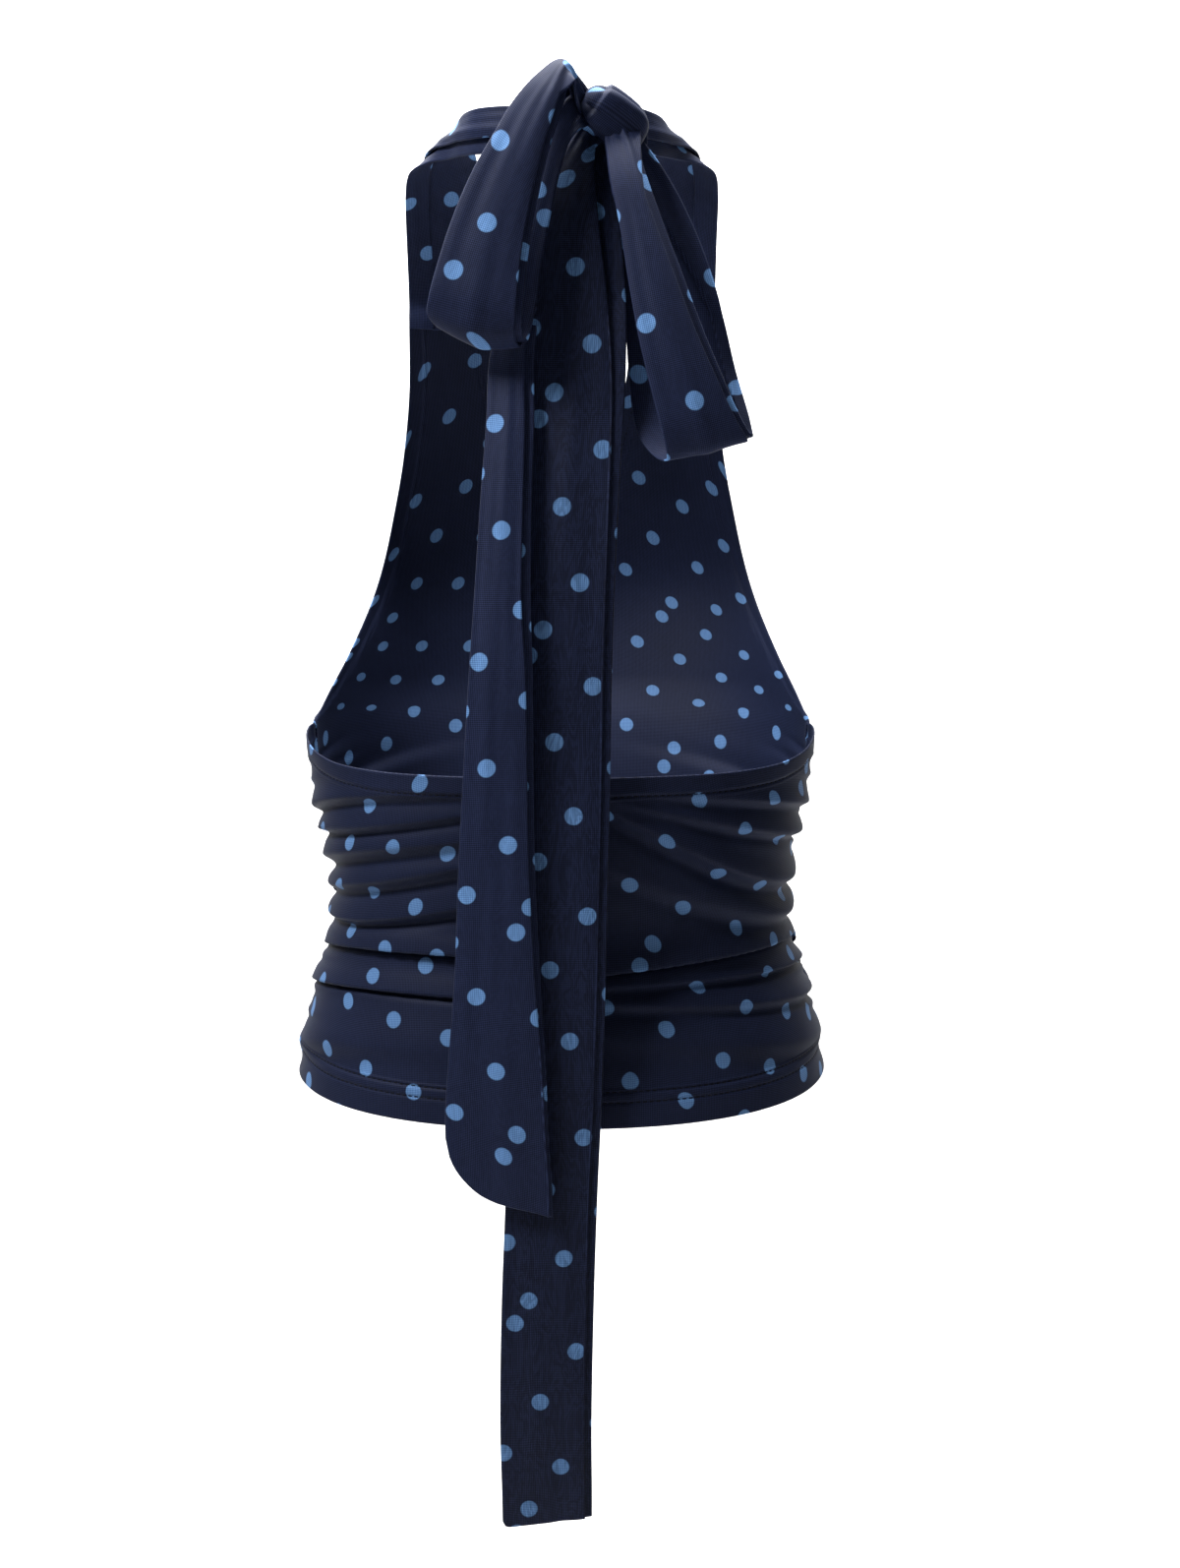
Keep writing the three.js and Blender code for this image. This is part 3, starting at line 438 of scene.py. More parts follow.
def drape(folds, signed_share, z):
    """How far the folds and gathers push the cloth out, and how far their crests droop."""
    share = np.abs(signed_share)
    rise = np.zeros_like(z)
    droop = np.zeros_like(z)
    for side, inner_z, mid_z, seam_z, inner, mid, seam, above, below, crisp in zip(*folds.values()):
        weight = smooth(0.5 + 0.5 * side * signed_share / CENTRE_BLEND)
        height = FOLD_GAIN * weight * np.maximum(0, along_fold(share, inner, mid, seam))
        offset = z - along_fold(share, inner_z, mid_z, seam_z)
        lower = below * (1 - CRISP_WIDTH * crisp)
        width = np.where(offset > 0, above, lower)
        crest = np.exp(-np.abs(offset / width) ** (2 - CUSP * crisp))
        trough = np.exp(-(offset / lower + TROUGH_DISTANCE) ** 2)
        rise += height * (crest - TROUGH_DEPTH * trough)
        droop += height * CRISP_DROOP * crisp * np.exp(-(offset / (DROOP_SPREAD * lower)) ** 2)
    for side, seam_z, climb, small_rise, reach in zip(*GATHERS.values()):
        depth = 1 - side * signed_share
        height = small_rise * (1 - smooth(depth / reach)) * (side * signed_share > 0)
        offset = z - (seam_z + climb * depth / reach)
        crest = np.exp(-(offset / GATHER_WIDTH) ** 2)
        trough = np.exp(-(offset / GATHER_WIDTH + GATHER_TROUGH_DISTANCE) ** 2)
        rise += height * (crest - GATHER_TROUGH_DEPTH * trough)
    return rise, droop


def turned_edge(distance, depth):
    """Rise of a turned edge, with the shallow groove that its stitches pull."""
    turned = EDGE_PROUD * (1 - smooth((distance - depth) / EDGE_STEP + 0.5))
    return turned - GROOVE_DEPTH * np.exp(-((distance - depth + STITCH_INSET) / GROOVE_WIDTH) ** 2)


def turned_hem(z):
    """Rise of the hem, with the grooves of its two stitch lines."""
    inner_groove = HEM_GROOVE_DEPTH * np.exp(-((z - HEM_Z - HEM_INNER_STITCH) / HEM_GROOVE_WIDTH) ** 2)
    return turned_edge(z - HEM_Z, HEM_TURNING) - inner_groove


def seam_tuck(share):
    """Dip of a panel into its side seam, at signed shares from centre to seam."""
    return -SEAM_TUCK * np.exp(-((1 - np.abs(share)) * HALF_PANEL / SEAM_TUCK_WIDTH) ** 2)


def draped(points, normals, z, rise, droop):
    """Points pushed out by their rise and let down by their droop, which fades out at the hem."""
    points = points + normals * rise[..., None]
    points[..., 2] -= droop * smooth((z - HEM_Z) / DROOP_FADE)
    return points


def back_surface(share, z):
    """Outer face of the back at signed shares from centre to seam, and heights."""
    top_z = table_value(BACK_TOP, "share", "z", np.abs(share))
    points, normals = torso(1, share * math.pi / 2, z)
    rise, droop = drape(BACK_FOLDS, share, z)
    rise += turned_edge(top_z - z, EDGE_TURNING) + turned_hem(z) + seam_tuck(share)
    return draped(points, normals, z, rise, droop), normals


def front_surface(angle, z, edge_distance):
    """Outer face of the front at signed angles and heights, and its distance from the nearest free edge."""
    share = angle / (math.pi / 2)
    points, normals = torso(-1, angle, z)
    rise, droop = drape(FRONT_FOLDS, share, z)
    rise += turned_edge(edge_distance, EDGE_TURNING) + turned_hem(z)
    rise += np.where(z < BACK_TOP["z"][-1], seam_tuck(share), 0)
    return draped(points, normals, z, rise, droop), normals


def grid_quads(rows, columns):
    corner = np.arange(rows * columns).reshape(rows, columns)
    return np.stack([corner[:-1, :-1], corner[1:, :-1], corner[1:, 1:], corner[:-1, 1:]], -1).reshape(-1, 4)


def surface_normals(points, quads):
    first, second, third, fourth = (points[quads[:, corner]] for corner in range(4))
    diagonals = np.cross(third - first, fourth - second)
    normals = np.zeros_like(points)
    for corner in range(4):
        np.add.at(normals, quads[:, corner], diagonals)
    return unit(normals)


def placed(name, data):
    """A new object in the scene."""
    placed_object = bpy.data.objects.new(name, data)
    bpy.context.scene.collection.objects.link(placed_object)
    return placed_object


def shell(name, points, cloth, quads, thickness):
    """A thin closed shell under an open sheet, with rounded rims. `cloth` holds each point's place on the
    flat cloth, which the print follows."""
    count = len(points)
    normals = surface_normals(points, quads)
    inner = points - normals * thickness
    edges = np.stack([quads, np.roll(quads, -1, axis=1)], -1).reshape(-1, 2)
    forward, backward = edges[:, 0] * count + edges[:, 1], edges[:, 1] * count + edges[:, 0]
    border = edges[~np.isin(forward, backward)]
    outward = np.zeros_like(points)
    for end in range(2):
        direction = points[border[:, 1]] - points[border[:, 0]]
        np.add.at(outward, border[:, end], np.cross(unit(direction), normals[border[:, end]]))
    rim_of = np.full(count, -1)
    rim_points = np.unique(border)
    rim_of[rim_points] = 2 * count + np.arange(len(rim_points))
    roundness = 0.45
    middle = (points + inner)[rim_points] / 2 + unit(outward[rim_points]) * thickness * roundness
    start, stop = border[:, 0], border[:, 1]
    rims = np.concatenate([
        np.stack([stop, start, rim_of[start], rim_of[stop]], -1),
        np.stack([rim_of[stop], rim_of[start], start + count, stop + count], -1),
    ])
    faces = np.concatenate([quads, quads[:, ::-1] + count, rims])
    corners = np.concatenate([points, inner, middle]) * MM
    uv = np.concatenate([cloth, cloth, cloth[rim_points]])
    mesh = bpy.data.meshes.new(name)
    mesh.vertices.add(len(corners))
    mesh.vertices.foreach_set("co", corners.ravel())
    mesh.loops.add(faces.size)
    mesh.loops.foreach_set("vertex_index", faces.ravel())
    mesh.polygons.add(len(faces))
    mesh.polygons.foreach_set("loop_start", np.arange(0, faces.size, 4))
    mesh.polygons.foreach_set("use_smooth", np.ones(len(faces), bool))
    mesh.update(calc_edges=True)
    layer = mesh.uv_layers.new(name="cloth")
    layer.data.foreach_set("uv", uv[faces.ravel()].ravel())
    mesh.validate()
    return placed(name, mesh)


def closer_rows(rows, bands, closeness=1.3):
    """Shares from 0 to 1 that lie closer together in the bands."""
    even = np.linspace(0, 1, 2000)
    density = 1 + closeness * sum((even > low) & (even < high) for low, high in bands)
    run = np.cumsum(density)
    return np.interp(np.linspace(run[0], run[-1], rows), run, even)


def back_piece(rows=212, columns=210):
    down = closer_rows(rows, BACK_FINE_BANDS)[:, None]
    share = np.linspace(1, -1, columns)[None, :] + 0 * down
    top_z = table_value(BACK_TOP, "share", "z", np.abs(share))
    drop = ROW_DROP * smooth(down / ROW_DROP_START) * (1 - down)
    z = mix(top_z, HEM_Z, down) - drop * smooth(np.abs(share))
    points, _ = back_surface(share, z)
    across = run_lengths(points, 1)
    across -= across[:, [columns // 2]]
    along = run_lengths(points, 0)
    along -= along[[rows // 2], :]
    cloth = np.stack([across, along], -1).reshape(-1, 2)
    return shell("back_panel_cloth", points.reshape(-1, 3), cloth, grid_quads(rows, columns), PANEL_CLOTH)


def front_half(side, heights, columns):
    """Outer points of half the front, from the centre or neckline out to the seam or armhole."""
    z = heights[:, None] + np.zeros(columns)
    seam_top = BACK_TOP["z"][-1]
    outer = np.where(z <= seam_top, math.pi / 2, edge_angle("armhole", z))
    inner = edge_angle("neckline", z)
    share = np.linspace(0, 1, columns)
    angle = mix(inner, outer, share)
    around = CHEST_RADIUS * np.abs(angle)
    far = 1000
    # The armhole's turning grows over the first millimetres above the side seam
    growing = 0.6 * np.maximum(0, seam_top + 12 - z)
    armhole = np.where(z > seam_top, CHEST_RADIUS * outer - around + growing, far)
    below_point = np.hypot(around, z - NECKLINE_LOW_Z)
    neckline = np.where(z > NECKLINE_LOW_Z, around - CHEST_RADIUS * inner, below_point)
    points, _ = front_surface(side * angle, z, np.minimum(armhole, neckline))
    return points


def front_piece(columns=92):
    seam_top = BACK_TOP["z"][-1]
    heights = np.concatenate([
        mix(HEM_Z, seam_top, closer_rows(150, FRONT_FINE_BANDS, closeness=2.5))[:-1],
        np.linspace(seam_top, NECKLINE_LOW_Z, 50)[:-1],
        np.linspace(NECKLINE_LOW_Z, STRAP_SEAM_Z, 62),
    ])
    rows = len(heights)
    halves = [front_half(side, heights, columns) for side in (1, -1)]
    cloth = []
    for side, half in zip((1, -1), halves):
        along = run_lengths(half, 0)
        along -= along[[rows // 2], :]
        across = run_lengths(half, 1)
        start = np.abs(half[:, [0], 0])
        cloth.append(np.stack([side * (across + start), along], -1).reshape(-1, 2))
    left = grid_quads(rows, columns)[:, ::-1]
    right = grid_quads(rows, columns) + rows * columns
    low = heights <= NECKLINE_LOW_Z
    shared = np.arange(2 * rows * columns)
    centre = np.arange(rows)[low] * columns
    shared[rows * columns + centre] = centre
    quads = shared[np.concatenate([left, right])]
    kept, packed = np.unique(quads, return_inverse=True)
    points = np.concatenate([half.reshape(-1, 3) for half in halves])[kept]
    cloth = np.concatenate(cloth)[kept]
    return shell("front_panel_cloth", points, cloth, packed.reshape(-1, 4), PANEL_CLOTH)


def curve_points(stations, steps):
    """Points at even steps of a centripetal Catmull-Rom curve through the stations, as in the CAD."""
    knots = np.vstack([2 * stations[0] - stations[1], stations, 2 * stations[-1] - stations[-2]])
    place = np.linspace(0, len(stations) - 1, steps + 1)
    i = np.minimum(place.astype(int), len(stations) - 2)
    t = (place - i)[:, None]
    p0, p1, p2, p3 = (knots[i + k] for k in range(4))
    pairs = ((p0, p1), (p1, p2), (p2, p3))
    d0, d1, d2 = (np.linalg.norm(b - a, axis=1, keepdims=True) ** 0.5 for a, b in pairs)
    leave = ((p1 - p0) / d0 - (p2 - p0) / (d0 + d1) + (p2 - p1) / d1) * d1
    arrive = ((p2 - p1) / d1 - (p3 - p1) / (d1 + d2) + (p3 - p2) / d2) * d1
    return (
        (1 + 2 * t) * (1 - t) ** 2 * p1 + t * (1 - t) ** 2 * leave
        + t * t * (3 - 2 * t) * p2 + t * t * (t - 1) * arrive
    )


def folded_section(width, crease, overlap):
    """A tie's cross-section: across and down from its outer face, for a cloth that runs to the crease, back
    under itself by the overlap and on to the far edge."""
    turn = min(PLY / 2, 0.45 * overlap)
    bend = np.linspace(math.pi / 2, -math.pi / 2, 7)[1:-1]
    fold = max(crease, overlap + 0.5)
    first = np.linspace(0, fold - turn, 34)
    second = np.linspace(fold - turn, fold - overlap + turn, 12)
    third = np.linspace(fold - overlap + turn, width, 16)
    across = np.concatenate([
        first,
        fold - turn + turn * np.cos(bend),
        second,
        fold - overlap + turn - turn * np.cos(bend),
        third,
    ])
    lift = np.concatenate([
        0 * first,
        turn * (np.sin(bend) - 1),
        0 * second - 2 * turn,
        turn * (np.sin(bend) - 3),
        0 * third - 4 * turn,
    ])
    return across, lift


def tie_sheet(rows, steps, outward, from_knot):
    """Points and cloth places of a tie. `outward` is 1 where along x across points out of its outer face,
    and `from_knot` says which of its ends are gathered into the knot."""
    rows = table(TIE_COLUMNS, *rows)
    edge_a = curve_points(np.stack([rows["ax"], rows["ay"], rows["az"]], 1), steps)
    edge_b = curve_points(np.stack([rows["bx"], rows["by"], rows["bz"]], 1), steps)
    rows["key"] = np.linspace(0, 1, len(rows["ax"]))
    key = np.linspace(0, 1, steps + 1)
    bulge = table_value(rows, "key", "bulge", key)
    crease = table_value(rows, "key", "crease", key)
    middle = (edge_a + edge_b) / 2
    length = run_lengths(middle, 0)
    along = np.gradient(middle, axis=0)
    across_way = unit(edge_b - edge_a)
    normals = unit(np.cross(along, edge_b - edge_a)) * outward
    points, cloth = [], []
    for i in range(steps + 1):
        visible = np.linalg.norm(edge_b[i] - edge_a[i])
        overlap = max(LEAST_OVERLAP, (TIE_WIDTH - visible) / 2)
        across, lift = folded_section(visible, crease[i] * visible, overlap)
        share = across / visible
        lift = lift + bulge[i] * np.sin(math.pi * np.clip(share, 0, 1))
        edge_fade = smooth(EDGE_FADE * share) * smooth(EDGE_FADE * (1 - share))
        for waves, phase, drift, rise in zip(*STREAKS.values()):
            turns = waves * share + phase + drift * length[i] / STREAK_RUN
            lift += rise * edge_fade * np.sin(2 * math.pi * turns)
        near = [length[i]] * ("start" in from_knot) + [length[-1] - length[i]] * ("end" in from_knot)
        if near:
            gathered = 1 - smooth(min(near) / PLEAT_REACH)
            lift += PLEAT_RISE * gathered * edge_fade * np.cos(2 * math.pi * PLEATS * share)
        section = edge_a[i] + across_way[i] * across[:, None] + normals[i] * lift[:, None]
        points.append(section)
        span = run_lengths(np.stack([across, lift], 1), 0)
        cloth.append(np.stack([span, np.full(len(span), length[i])], 1))
    points, cloth = np.array(points), np.array(cloth)
    if outward < 0:
        points, cloth = points[:, ::-1], cloth[:, ::-1]
    return points, cloth, length[-1]


def mirrored(rows, wider):
    """Stations of a tie on the wearer's other side, each moved out by its share of `wider`."""
    return [
        (-ax - more, ay, az, -bx - more, by, bz, bulge, crease)
        for (ax, ay, az, bx, by, bz, bulge, crease), more in zip(rows, wider)
    ]


def strap_start():
    """Stations that lead a strap straight up out of the front's upper edge."""
    z = np.array(float(STRAP_SEAM_Z))
    (ax, ay, _), (bx, by, _) = (torso(-1, edge_angle(edge, z), z)[0] for edge in ("neckline", "armhole"))
    return [
        (ax, ay + inside, z + rise, bx, by + inside, z + rise, START_BULGE, START_CREASE)
        for rise, inside in STRAP_STARTS
    ]


def cut_end(points, cloth, radius):
    """Shorten a tie's lengthwise lines so that its end has a rounded corner at its first edge."""
    across = run_lengths(points[-1:], 1)[0]
    near = np.clip(1 - across / radius, 0, 1)
    cut = radius * (1 - np.sqrt(1 - near ** 2))
    length = run_lengths(points, 0)
    for column in range(points.shape[1]):
        run = length[:, column]
        place = run * (1 - cut[column] / run[-1])
        for values in (points, cloth):
            kept = values[:, column].copy()
            for part in range(kept.shape[1]):
                values[:, column, part] = np.interp(place, run, kept[:, part])


def tie_piece(name, rows, steps, outward, origin, from_knot, corner=None):
    """One stretch of a tie and its length. `origin` places the dots on it."""
    points, cloth, length = tie_sheet(rows, steps, outward, from_knot)
    if corner:
        cut_end(points, cloth, corner)
    cloth = cloth + origin
    quads = grid_quads(*points.shape[:2])
    piece = shell(name, points.reshape(-1, 3), cloth.reshape(-1, 2), quads, TIE_CLOTH)
    return piece, length


def rotated(points, first, second, angle):
    """Points turned in the plane of two axes, from the first towards the second."""
    cos, sin = math.cos(angle), math.sin(angle)
    turned = points.copy()
    turned[..., first] = points[..., first] * cos - points[..., second] * sin
    turned[..., second] = points[..., first] * sin + points[..., second] * cos
    return turned


def knot_piece(rows=90, columns=200):
    """The pleated wrap of the knot: a squarish ball whose poles lie where the ties go in."""
    polar = np.linspace(0.02, math.pi - 0.02, rows)[:, None]
    around = np.linspace(-math.pi, math.pi, columns + 1)[None, :]
    power = 2 / KNOT_SQUARENESS

    def signed_power(value):
        return np.sign(value) * np.abs(value) ** power

    bunching = KNOT_PLEAT_BUNCHING * np.sin(2 * around + KNOT_PLEAT_BUNCHED_AT)
    phase = KNOT_PLEATS * around + bunching + KNOT_PLEAT_SLANT * np.cos(polar)
    pleat = 1 - KNOT_PLEAT_RISE * np.sin(polar) * (1 - np.abs(np.sin(phase / 2))) * 2
    turn = (around - KNOT_RIM + math.pi) % (2 * math.pi) - math.pi
    under = smooth(-turn / KNOT_RIM_WIDTH) * smooth(turn + KNOT_RIM_REACH)
    along = signed_power(np.cos(polar))
    tucked = smooth((along - KNOT_TUCK + KNOT_TUCK_SLANT * np.sin(around)) / KNOT_TUCK_WIDTH)
    drop = KNOT_RIM_STEP * under * np.sin(polar) + KNOT_TUCK_STEP * tucked * np.sin(polar) ** 0.5
    ring = signed_power(np.sin(polar)) * pleat * (1 - drop / KNOT_AROUND)
    points = np.stack([
        KNOT_ALONG * along + 0 * around,
        KNOT_DEPTH * ring * signed_power(np.cos(around)),
        KNOT_AROUND * ring * signed_power(np.sin(around)),
    ], -1)
    points = rotated(points, 0, 1, KNOT_TURN)
    points = rotated(points, 0, 2, -KNOT_LEAN) + KNOT_CENTRE
    across = around * TIE_WIDTH / math.pi + 0 * polar
    cloth = np.stack([across, run_lengths(points, 0)], -1) + KNOT_CLOTH_ORIGIN
    quads = grid_quads(rows, columns + 1)
    return shell("knot_wrap", points.reshape(-1, 3), cloth.reshape(-1, 2), quads, TIE_CLOTH)


def stitches(name, paths):
    """Runs of thread along paths of (points, outward directions), one small capsule for each stitch."""
    capsule = table("along radius", (-0.5, 0.25), (-0.38, 0.9), (0, 1.0), (0.38, 0.9), (0.5, 0.25))
    along = (capsule["along"] * STITCH_LENGTH)[:, None, None]
    radius = (capsule["radius"] * STITCH_RADIUS)[:, None, None]
    rings, sides = len(along), 6
    turn = 2 * math.pi * np.arange(sides)[:, None] / sides
    one = grid_quads(rings, sides + 1)
    one = np.where(one % (sides + 1) == sides, one - sides, one)
    one = one // (sides + 1) * sides + one % (sides + 1)
    caps = [list(range(sides)), list(range(sides * rings - 1, sides * (rings - 1) - 1, -1))]
    corners, faces = [], []
    for points, normals in paths:
        length = run_lengths(points, 0)
        middles = np.arange(STITCH_PITCH, length[-1] - STITCH_PITCH, STITCH_PITCH)
        place = np.stack([np.interp(middles, length, points[:, k]) for k in range(3)], 1)
        out = unit(np.stack([np.interp(middles, length, normals[:, k]) for k in range(3)], 1))
        ahead = np.stack([np.interp(middles + 0.5, length, points[:, k]) for k in range(3)], 1)
        way = unit(ahead - place)
        side_way = np.cross(out, way)
        spokes = side_way[:, None, None] * np.cos(turn) + out[:, None, None] * np.sin(turn)
        for stitch in place[:, None, None] + way[:, None, None] * along + spokes * radius:
            base = len(corners) * sides * rings
            corners.append(stitch.reshape(-1, 3))
            faces += [[base + v for v in face] for face in one.tolist() + caps]
    mesh = bpy.data.meshes.new(name)
    mesh.from_pydata((np.concatenate(corners) * MM).tolist(), [], faces)
    mesh.shade_smooth()
    return placed(name, mesh)


def hem_stitch_heights():
    return HEM_Z + HEM_TURNING - STITCH_INSET, HEM_Z + HEM_INNER_STITCH


def back_stitch_paths():
    share = np.linspace(STITCHED_SHARE, -STITCHED_SHARE, 700)
    top_z = table_value(BACK_TOP, "share", "z", np.abs(share))
    lines = [top_z - EDGE_TURNING + STITCH_INSET, *(0 * share + z for z in hem_stitch_heights())]
    return [back_surface(share, z) for z in lines]


def front_stitch_paths():
    """Stitch lines of the front's hem, armholes and neckline."""
    seam_angle = STITCHED_SHARE * math.pi / 2
    angle = np.linspace(-STITCHED_SHARE, STITCHED_SHARE, 700) * math.pi / 2
    far = 500
    paths = [front_surface(angle, 0 * angle + z, 0 * angle + far) for z in hem_stitch_heights()]
    inset = EDGE_TURNING - STITCH_INSET
    seam_top = BACK_TOP["z"][-1]
    run_in = 8                  # how far down the side seam the armhole's line starts
    run_in_slope = 0.0075       # radians by which it leaves the seam for each millimetre up
    slant_down, slant_in = 0.75, 0.45   # shares of the inset, down and in, as the neckline is slanted
    for side in (1, -1):
        z = np.linspace(seam_top - run_in, STRAP_SEAM_Z - 1, 400)
        armhole = edge_angle("armhole", z) - inset / CHEST_RADIUS
        leaving = seam_angle - np.maximum(0, z - seam_top + run_in) * run_in_slope
        armhole = np.minimum(armhole, np.where(z < seam_top, leaving, armhole))
        paths.append(front_surface(side * armhole, z, 0 * z + inset))
        z = np.linspace(NECKLINE_LOW_Z - inset, STRAP_SEAM_Z - 1, 300)
        width = table_value(FRONT_EDGES, "z", "neckline", z + inset * slant_down)
        neckline = angle_at_width(width, z) + inset * slant_in / CHEST_RADIUS
        neckline = neckline * smooth((z - NECKLINE_LOW_Z + inset) / 10)
        paths.append(front_surface(side * neckline, z, 0 * z + inset))
    return paths


class Nodes:
    """Short calls for building a material's node tree."""

    def __init__(self, material):
        material.use_nodes = True
        self.tree = material.node_tree
        self.tree.nodes.clear()

    def put(self, socket, value):
        """Link a node's output to a socket, or set the socket's own value."""
        if isinstance(value, bpy.types.NodeSocket):
            self.tree.links.new(value, socket)
        else:
            socket.default_value = value

    def add(self, kind, inputs=None, **settings):
        node = self.tree.nodes.new(kind)
        for name, value in settings.items():
            setattr(node, name, value)
        for name, value in (inputs or {}).items():
            self.put(node.inputs[name], value)
        return node

    def maths(self, operation, *values):
        return self.add("ShaderNodeMath", dict(enumerate(values)), operation=operation).outputs[0]

    def vector(self, operation, *values, output=0):
        node = self.add("ShaderNodeVectorMath", dict(enumerate(values)), operation=operation)
        return node.outputs[output]

    def blend(self, factor, first, second):
        return self.add("ShaderNodeMix", {0: factor, 6: first, 7: second}, data_type="RGBA").outputs[2]

    def surface(self, inputs):
        """The principled shader with these inputs, linked to the material's output."""
        shader = self.add("ShaderNodeBsdfPrincipled", inputs)
        self.add("ShaderNodeOutputMaterial", {0: shader.outputs[0]})


def srgb(red, green, blue):
    """Linear colour of an 8-bit sRGB one."""
    return tuple(((c / 255 + 0.055) / 1.055) ** 2.4 for c in (red, green, blue)) + (1.0,)


def cloth_material(name, tone, moire):
    """Dotted navy net: the printed repeat, the net's fine holes, and the watered look of two nets overlaid.
    `tone` is its lightness, set apart by the callers partly as painted light and painted shade, and `moire`
    the strength of the watered bands."""
    material = bpy.data.materials.new(name)
    nodes = Nodes(material)
    place = nodes.add("ShaderNodeUVMap", uv_map="cloth").outputs[0]

    nearest = None
    width, height = REPEAT
    for x, y in DOTS:
        away = nodes.vector("SUBTRACT", place, (x, y, 0))
        away = nodes.vector("WRAP", away, (width / 2, height / 2, 1), (-width / 2, -height / 2, -1))
        distance = nodes.vector("LENGTH", away, output=1)
        nearest = distance if nearest is None else nodes.maths("MINIMUM", nearest, distance)
    dot = nodes.add("ShaderNodeMapRange", {
        0: nearest, 1: DOT_RADIUS + DOT_EDGE, 2: DOT_RADIUS - DOT_EDGE, 3: 0.0, 4: 1.0,
    }, interpolation_type="SMOOTHSTEP").outputs[0]

    turned = nodes.add("ShaderNodeMapping", {0: place, 2: (0, 0, math.radians(45))}).outputs[0]
    parts = nodes.add("ShaderNodeSeparateXYZ", {0: turned})
    frequency = 2 * math.pi / NET_PITCH
    ways = [nodes.maths("COSINE", nodes.maths("MULTIPLY", parts.outputs[k], frequency)) for k in range(2)]
    holes = nodes.maths("MULTIPLY_ADD", nodes.maths("MULTIPLY", *ways), 0.5, 0.5)

    stretched = nodes.add("ShaderNodeMapping", {0: place, 3: WATER_STRETCH}).outputs[0]
    water = nodes.add("ShaderNodeTexNoise", {
        "Vector": stretched, "Scale": 1.0, "Detail": 3.0, "Distortion": 1.2,
    }).outputs[0]
    bands = nodes.maths("SINE", nodes.maths("MULTIPLY", water, WATER_BANDS))
    cloud = nodes.add("ShaderNodeTexNoise", {
        "Vector": place, "Scale": CLOUD_SCALE, "Detail": 2.0,
    }).outputs[0]

    navy = nodes.blend(holes, srgb(8, 12, 29), srgb(36, 44, 72))
    blue = nodes.blend(holes, srgb(58, 92, 138), srgb(112, 152, 202))
    colour = nodes.blend(dot, navy, blue)
    # Random mottling, scaled by the tone, which carries the ties' painted light and the right tail's painted
    # shade.
    mottled_and_painted_tone = nodes.maths("MULTIPLY_ADD", cloud, 0.3 * tone, 0.85 * tone)
    shade = nodes.maths("MULTIPLY_ADD", bands, moire, mottled_and_painted_tone)
    colour = nodes.add("ShaderNodeVectorMath", {0: colour, "Scale": shade}, operation="SCALE").outputs[0]

    bump = nodes.add("ShaderNodeBump", {"Height": holes, "Strength": 0.35, "Distance": 0.00012}).outputs[0]
    rough = nodes.maths("MULTIPLY_ADD", holes, -0.1, 0.66)
    nodes.surface({
        "Base Color": colour,
        "Roughness": rough,
        "Normal": bump,
        "Specular IOR Level": 0.08,
        "Sheen Weight": 0.02,
        "Sheen Roughness": 0.35,
        "Sheen Tint": (0.5, 0.6, 0.85, 1.0),
    })
    return material


def thread_material():
    """Navy sewing thread with a faint twist, coloured darker than the cloth partly as painted shade for the
    dips along the stitches.
    """
    material = bpy.data.materials.new("navy_thread_painted_dark")
    nodes = Nodes(material)
    place = nodes.add("ShaderNodeTexCoord").outputs["Object"]
    twist = nodes.add("ShaderNodeTexNoise", {"Vector": place, "Scale": 1500.0, "Detail": 1.0}).outputs[0]
    # The thread's own navy, painted darker than the cloth to stand in partly for the shade in the stitch
    # dips.
    colour = nodes.blend(twist, srgb(6, 7, 14), srgb(18, 21, 34))
    nodes.surface({"Base Color": colour, "Roughness": 0.7, "Specular IOR Level": 0.1})
    return material


def plain_material(name, colour, roughness):
    """One even colour with a faint grain."""
    material = bpy.data.materials.new(name)
    nodes = Nodes(material)
    grain = nodes.add("ShaderNodeTexNoise", {"Scale": 6.0, "Detail": 2.0}).outputs[0]
    tone = nodes.blend(grain, colour, tuple(0.97 * c for c in colour[:3]) + (1.0,))
    nodes.surface({"Base Color": tone, "Roughness": roughness})
    return material


def studio_cove():
    """Pale floor that curves up into a backdrop."""
    near_y, wall_y, bend, top_z, half = 3000, -1600, 700, 2200, 3500
    turn = np.linspace(0, math.pi / 2, 17)
    profile = [(near_y, FLOOR_Z)]
    profile += [(wall_y + bend - bend * math.sin(t), FLOOR_Z + bend - bend * math.cos(t)) for t in turn]
    profile += [(wall_y, top_z)]
    corners = [(x * MM, y * MM, z * MM) for y, z in profile for x in (-half, half)]
    faces = [(2 * i, 2 * i + 1, 2 * i + 3, 2 * i + 2) for i in range(len(profile) - 1)]
    mesh = bpy.data.meshes.new("studio_cove")
    mesh.from_pydata(corners, [], faces)
    mesh.shade_smooth()
    cove = placed("studio_cove", mesh)
    cove.data.materials.append(plain_material("pale_floor", srgb(241, 241, 241), 0.9))


def soft_light(name, at, aim, size, watts):
    data = bpy.data.lights.new(name, "AREA")
    data.shape = "DISK"
    data.size = size
    data.energy = watts
    lamp = placed(name, data)
    lamp.location = at
    lamp.visible_camera = False
    way = np.array(aim, float) - at
    flat = math.hypot(way[0], way[1])
    lamp.rotation_euler = (math.atan2(flat, -way[2]), 0, math.atan2(way[1], way[0]) - math.pi / 2)


def stage_lights():
    world = bpy.data.worlds.new("soft_room")
    world.use_nodes = True
    background = world.node_tree.nodes["Background"]
    background.inputs[0].default_value = (1, 1, 1, 1)
    background.inputs[1].default_value = WORLD_STRENGTH
    bpy.context.scene.world = world
    for lamp in LAMPS:
        soft_light(*lamp)


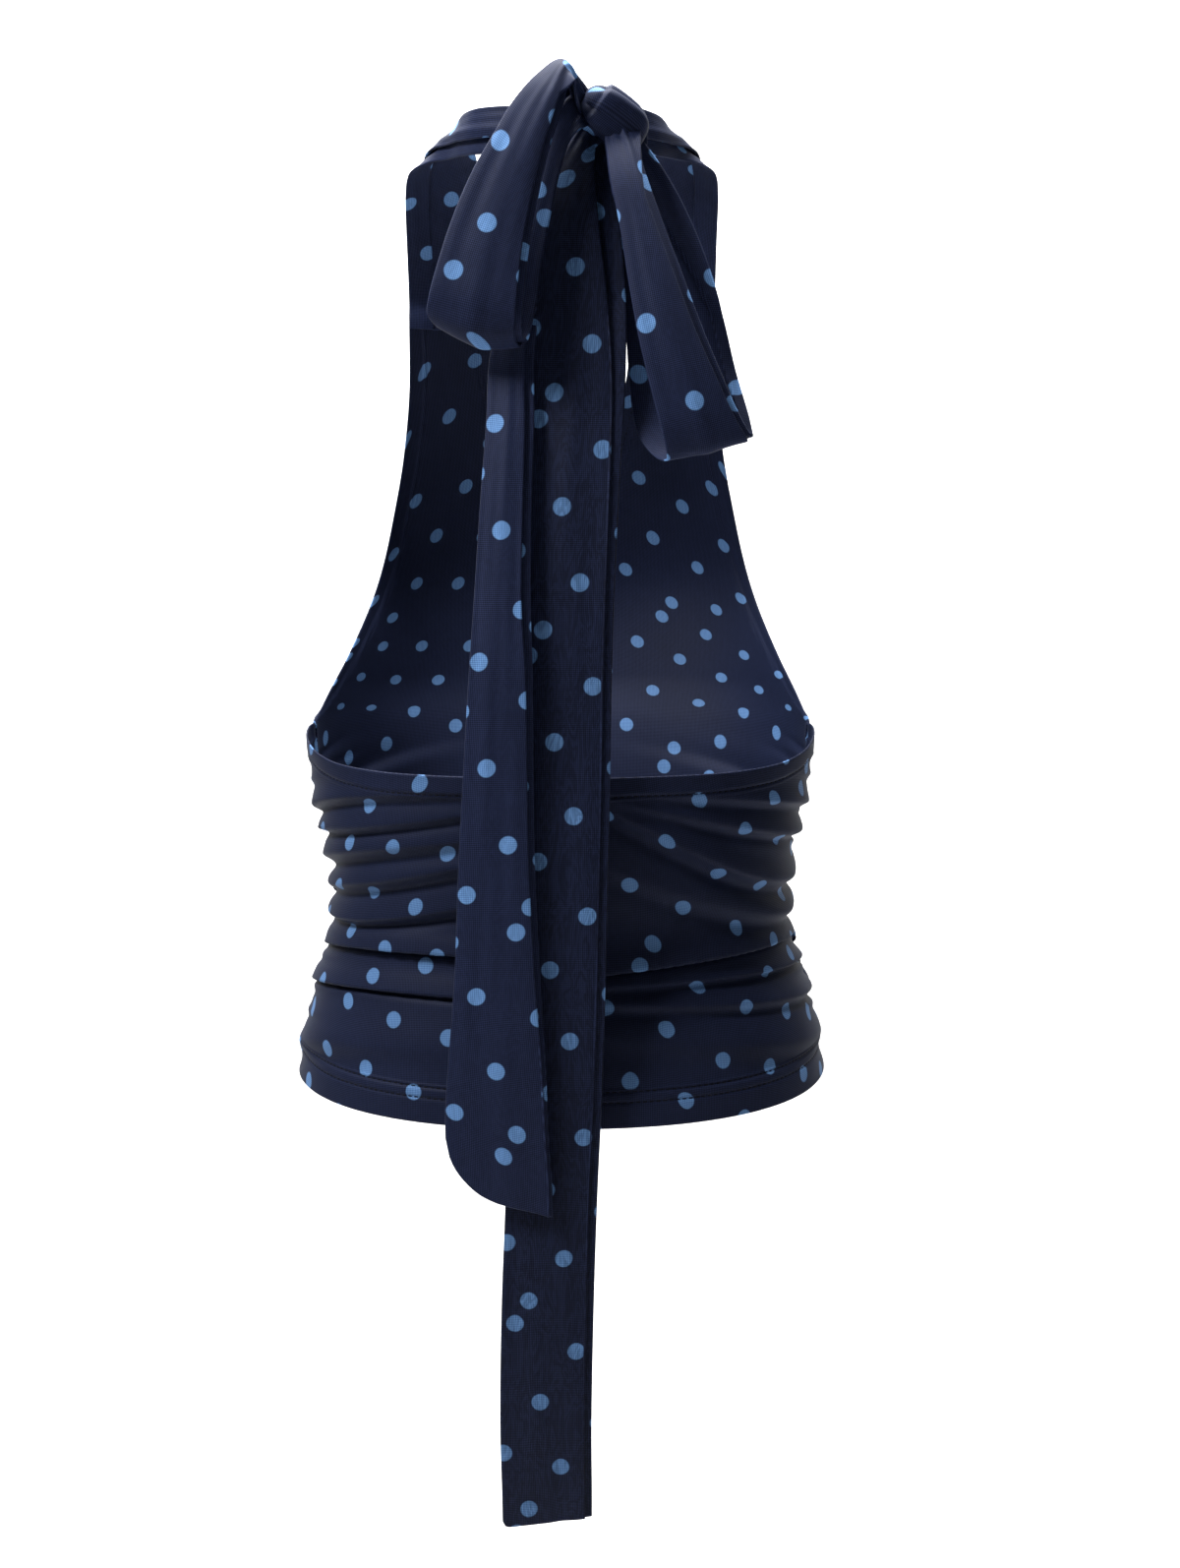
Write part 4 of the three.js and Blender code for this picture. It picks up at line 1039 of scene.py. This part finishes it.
def photo_camera():
    data = bpy.data.cameras.new("photo_view")
    data.sensor_width = SENSOR
    data.lens = FOCAL_PIXELS / FRAME_HEIGHT * SENSOR
    data.clip_start = 0.05
    camera = placed("photo_view", data)
    camera.location = [c * MM for c in CAMERA_AT]
    camera.rotation_euler = (math.radians(90 - CAMERA_PITCH), 0, math.pi)
    bpy.context.scene.camera = camera


def dress(piece, material, node=None):
    """Give a piece its material, let it ride with the part, and hide the CAD part that it replaces, if one
    is given.
    """
    piece.data.materials.append(material)
    if node:
        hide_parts(node)
    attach(piece, "root")


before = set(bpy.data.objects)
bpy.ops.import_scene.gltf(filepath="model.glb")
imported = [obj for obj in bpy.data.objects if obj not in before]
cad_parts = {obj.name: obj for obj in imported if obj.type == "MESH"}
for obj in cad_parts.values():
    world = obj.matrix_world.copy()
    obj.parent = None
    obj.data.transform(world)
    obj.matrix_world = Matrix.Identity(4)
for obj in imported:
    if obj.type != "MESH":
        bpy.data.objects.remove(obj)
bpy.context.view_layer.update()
panel_cloth = cloth_material("dotted_net", 0.8, 0.03)
# The ties' lighter tone is partly the doubled tube's own look and partly painted light and sheen on them.
tie_cloth_painted_lighter = cloth_material("dotted_net_doubled_painted_lighter", 1.1, 0.08)
# The right tail's darker tone is painted shade from the loops above it; its watered bands are the cloth's
# own moiré.
watered_cloth_painted_shade = cloth_material("dotted_net_watered_painted_shade", 0.75, 0.16)
thread = thread_material()

back = back_piece()
dress(back, panel_cloth, "back_panel")
back_thread = stitches("back_stitches", back_stitch_paths())
front = front_piece()
dress(front, panel_cloth, "front_panel")
front_thread = stitches("front_stitches", front_stitch_paths())
for piece in (back_thread, front_thread):
    dress(piece, thread)

strap_left = [*strap_start(), *STRAP, *STRAP_LEFT_END]
strap_right = mirrored([*strap_start(), *STRAP, *STRAP_RIGHT_END], (0, 0, 0, *STRAP_WIDER, 0, 0, 0))
# Each stretch's stations, steps, outward side, place of its dots and ends that are gathered into the knot
TIES = (
    ("neck_strap_left", strap_left, 170, -1, (15, 0), ()),
    ("neck_strap_right", strap_right, 150, 1, (40, 30), ()),
    ("loop_left", LOOP_LEFT, 220, 1, (0, -14), ("start", "end")),
    ("loop_right", LOOP_RIGHT, 260, 1, (60, 20), ("start", "end")),
    ("tail_left", TAIL_LEFT, 300, 1, (10, 50), ("start",)),
    ("tail_right", TAIL_RIGHT, 320, 1, (30, 75), ("start",)),
)
for node, rows, steps, outward, origin, from_knot in TIES:
    corner = TAIL_CORNERS.get(node)
    piece, length = tie_piece(node + "_cloth", rows, steps, outward, origin, from_knot, corner)
    # The right tail takes the darker copy, as painted shade, and the other ties the lighter one, partly
    # painted light.
    dress(piece, watered_cloth_painted_shade if node == "tail_right" else tie_cloth_painted_lighter, node)
knot = knot_piece()
dress(knot, tie_cloth_painted_lighter, "knot")

studio_cove()
stage_lights()
photo_camera()
bpy.context.scene.view_settings.view_transform = "Standard"
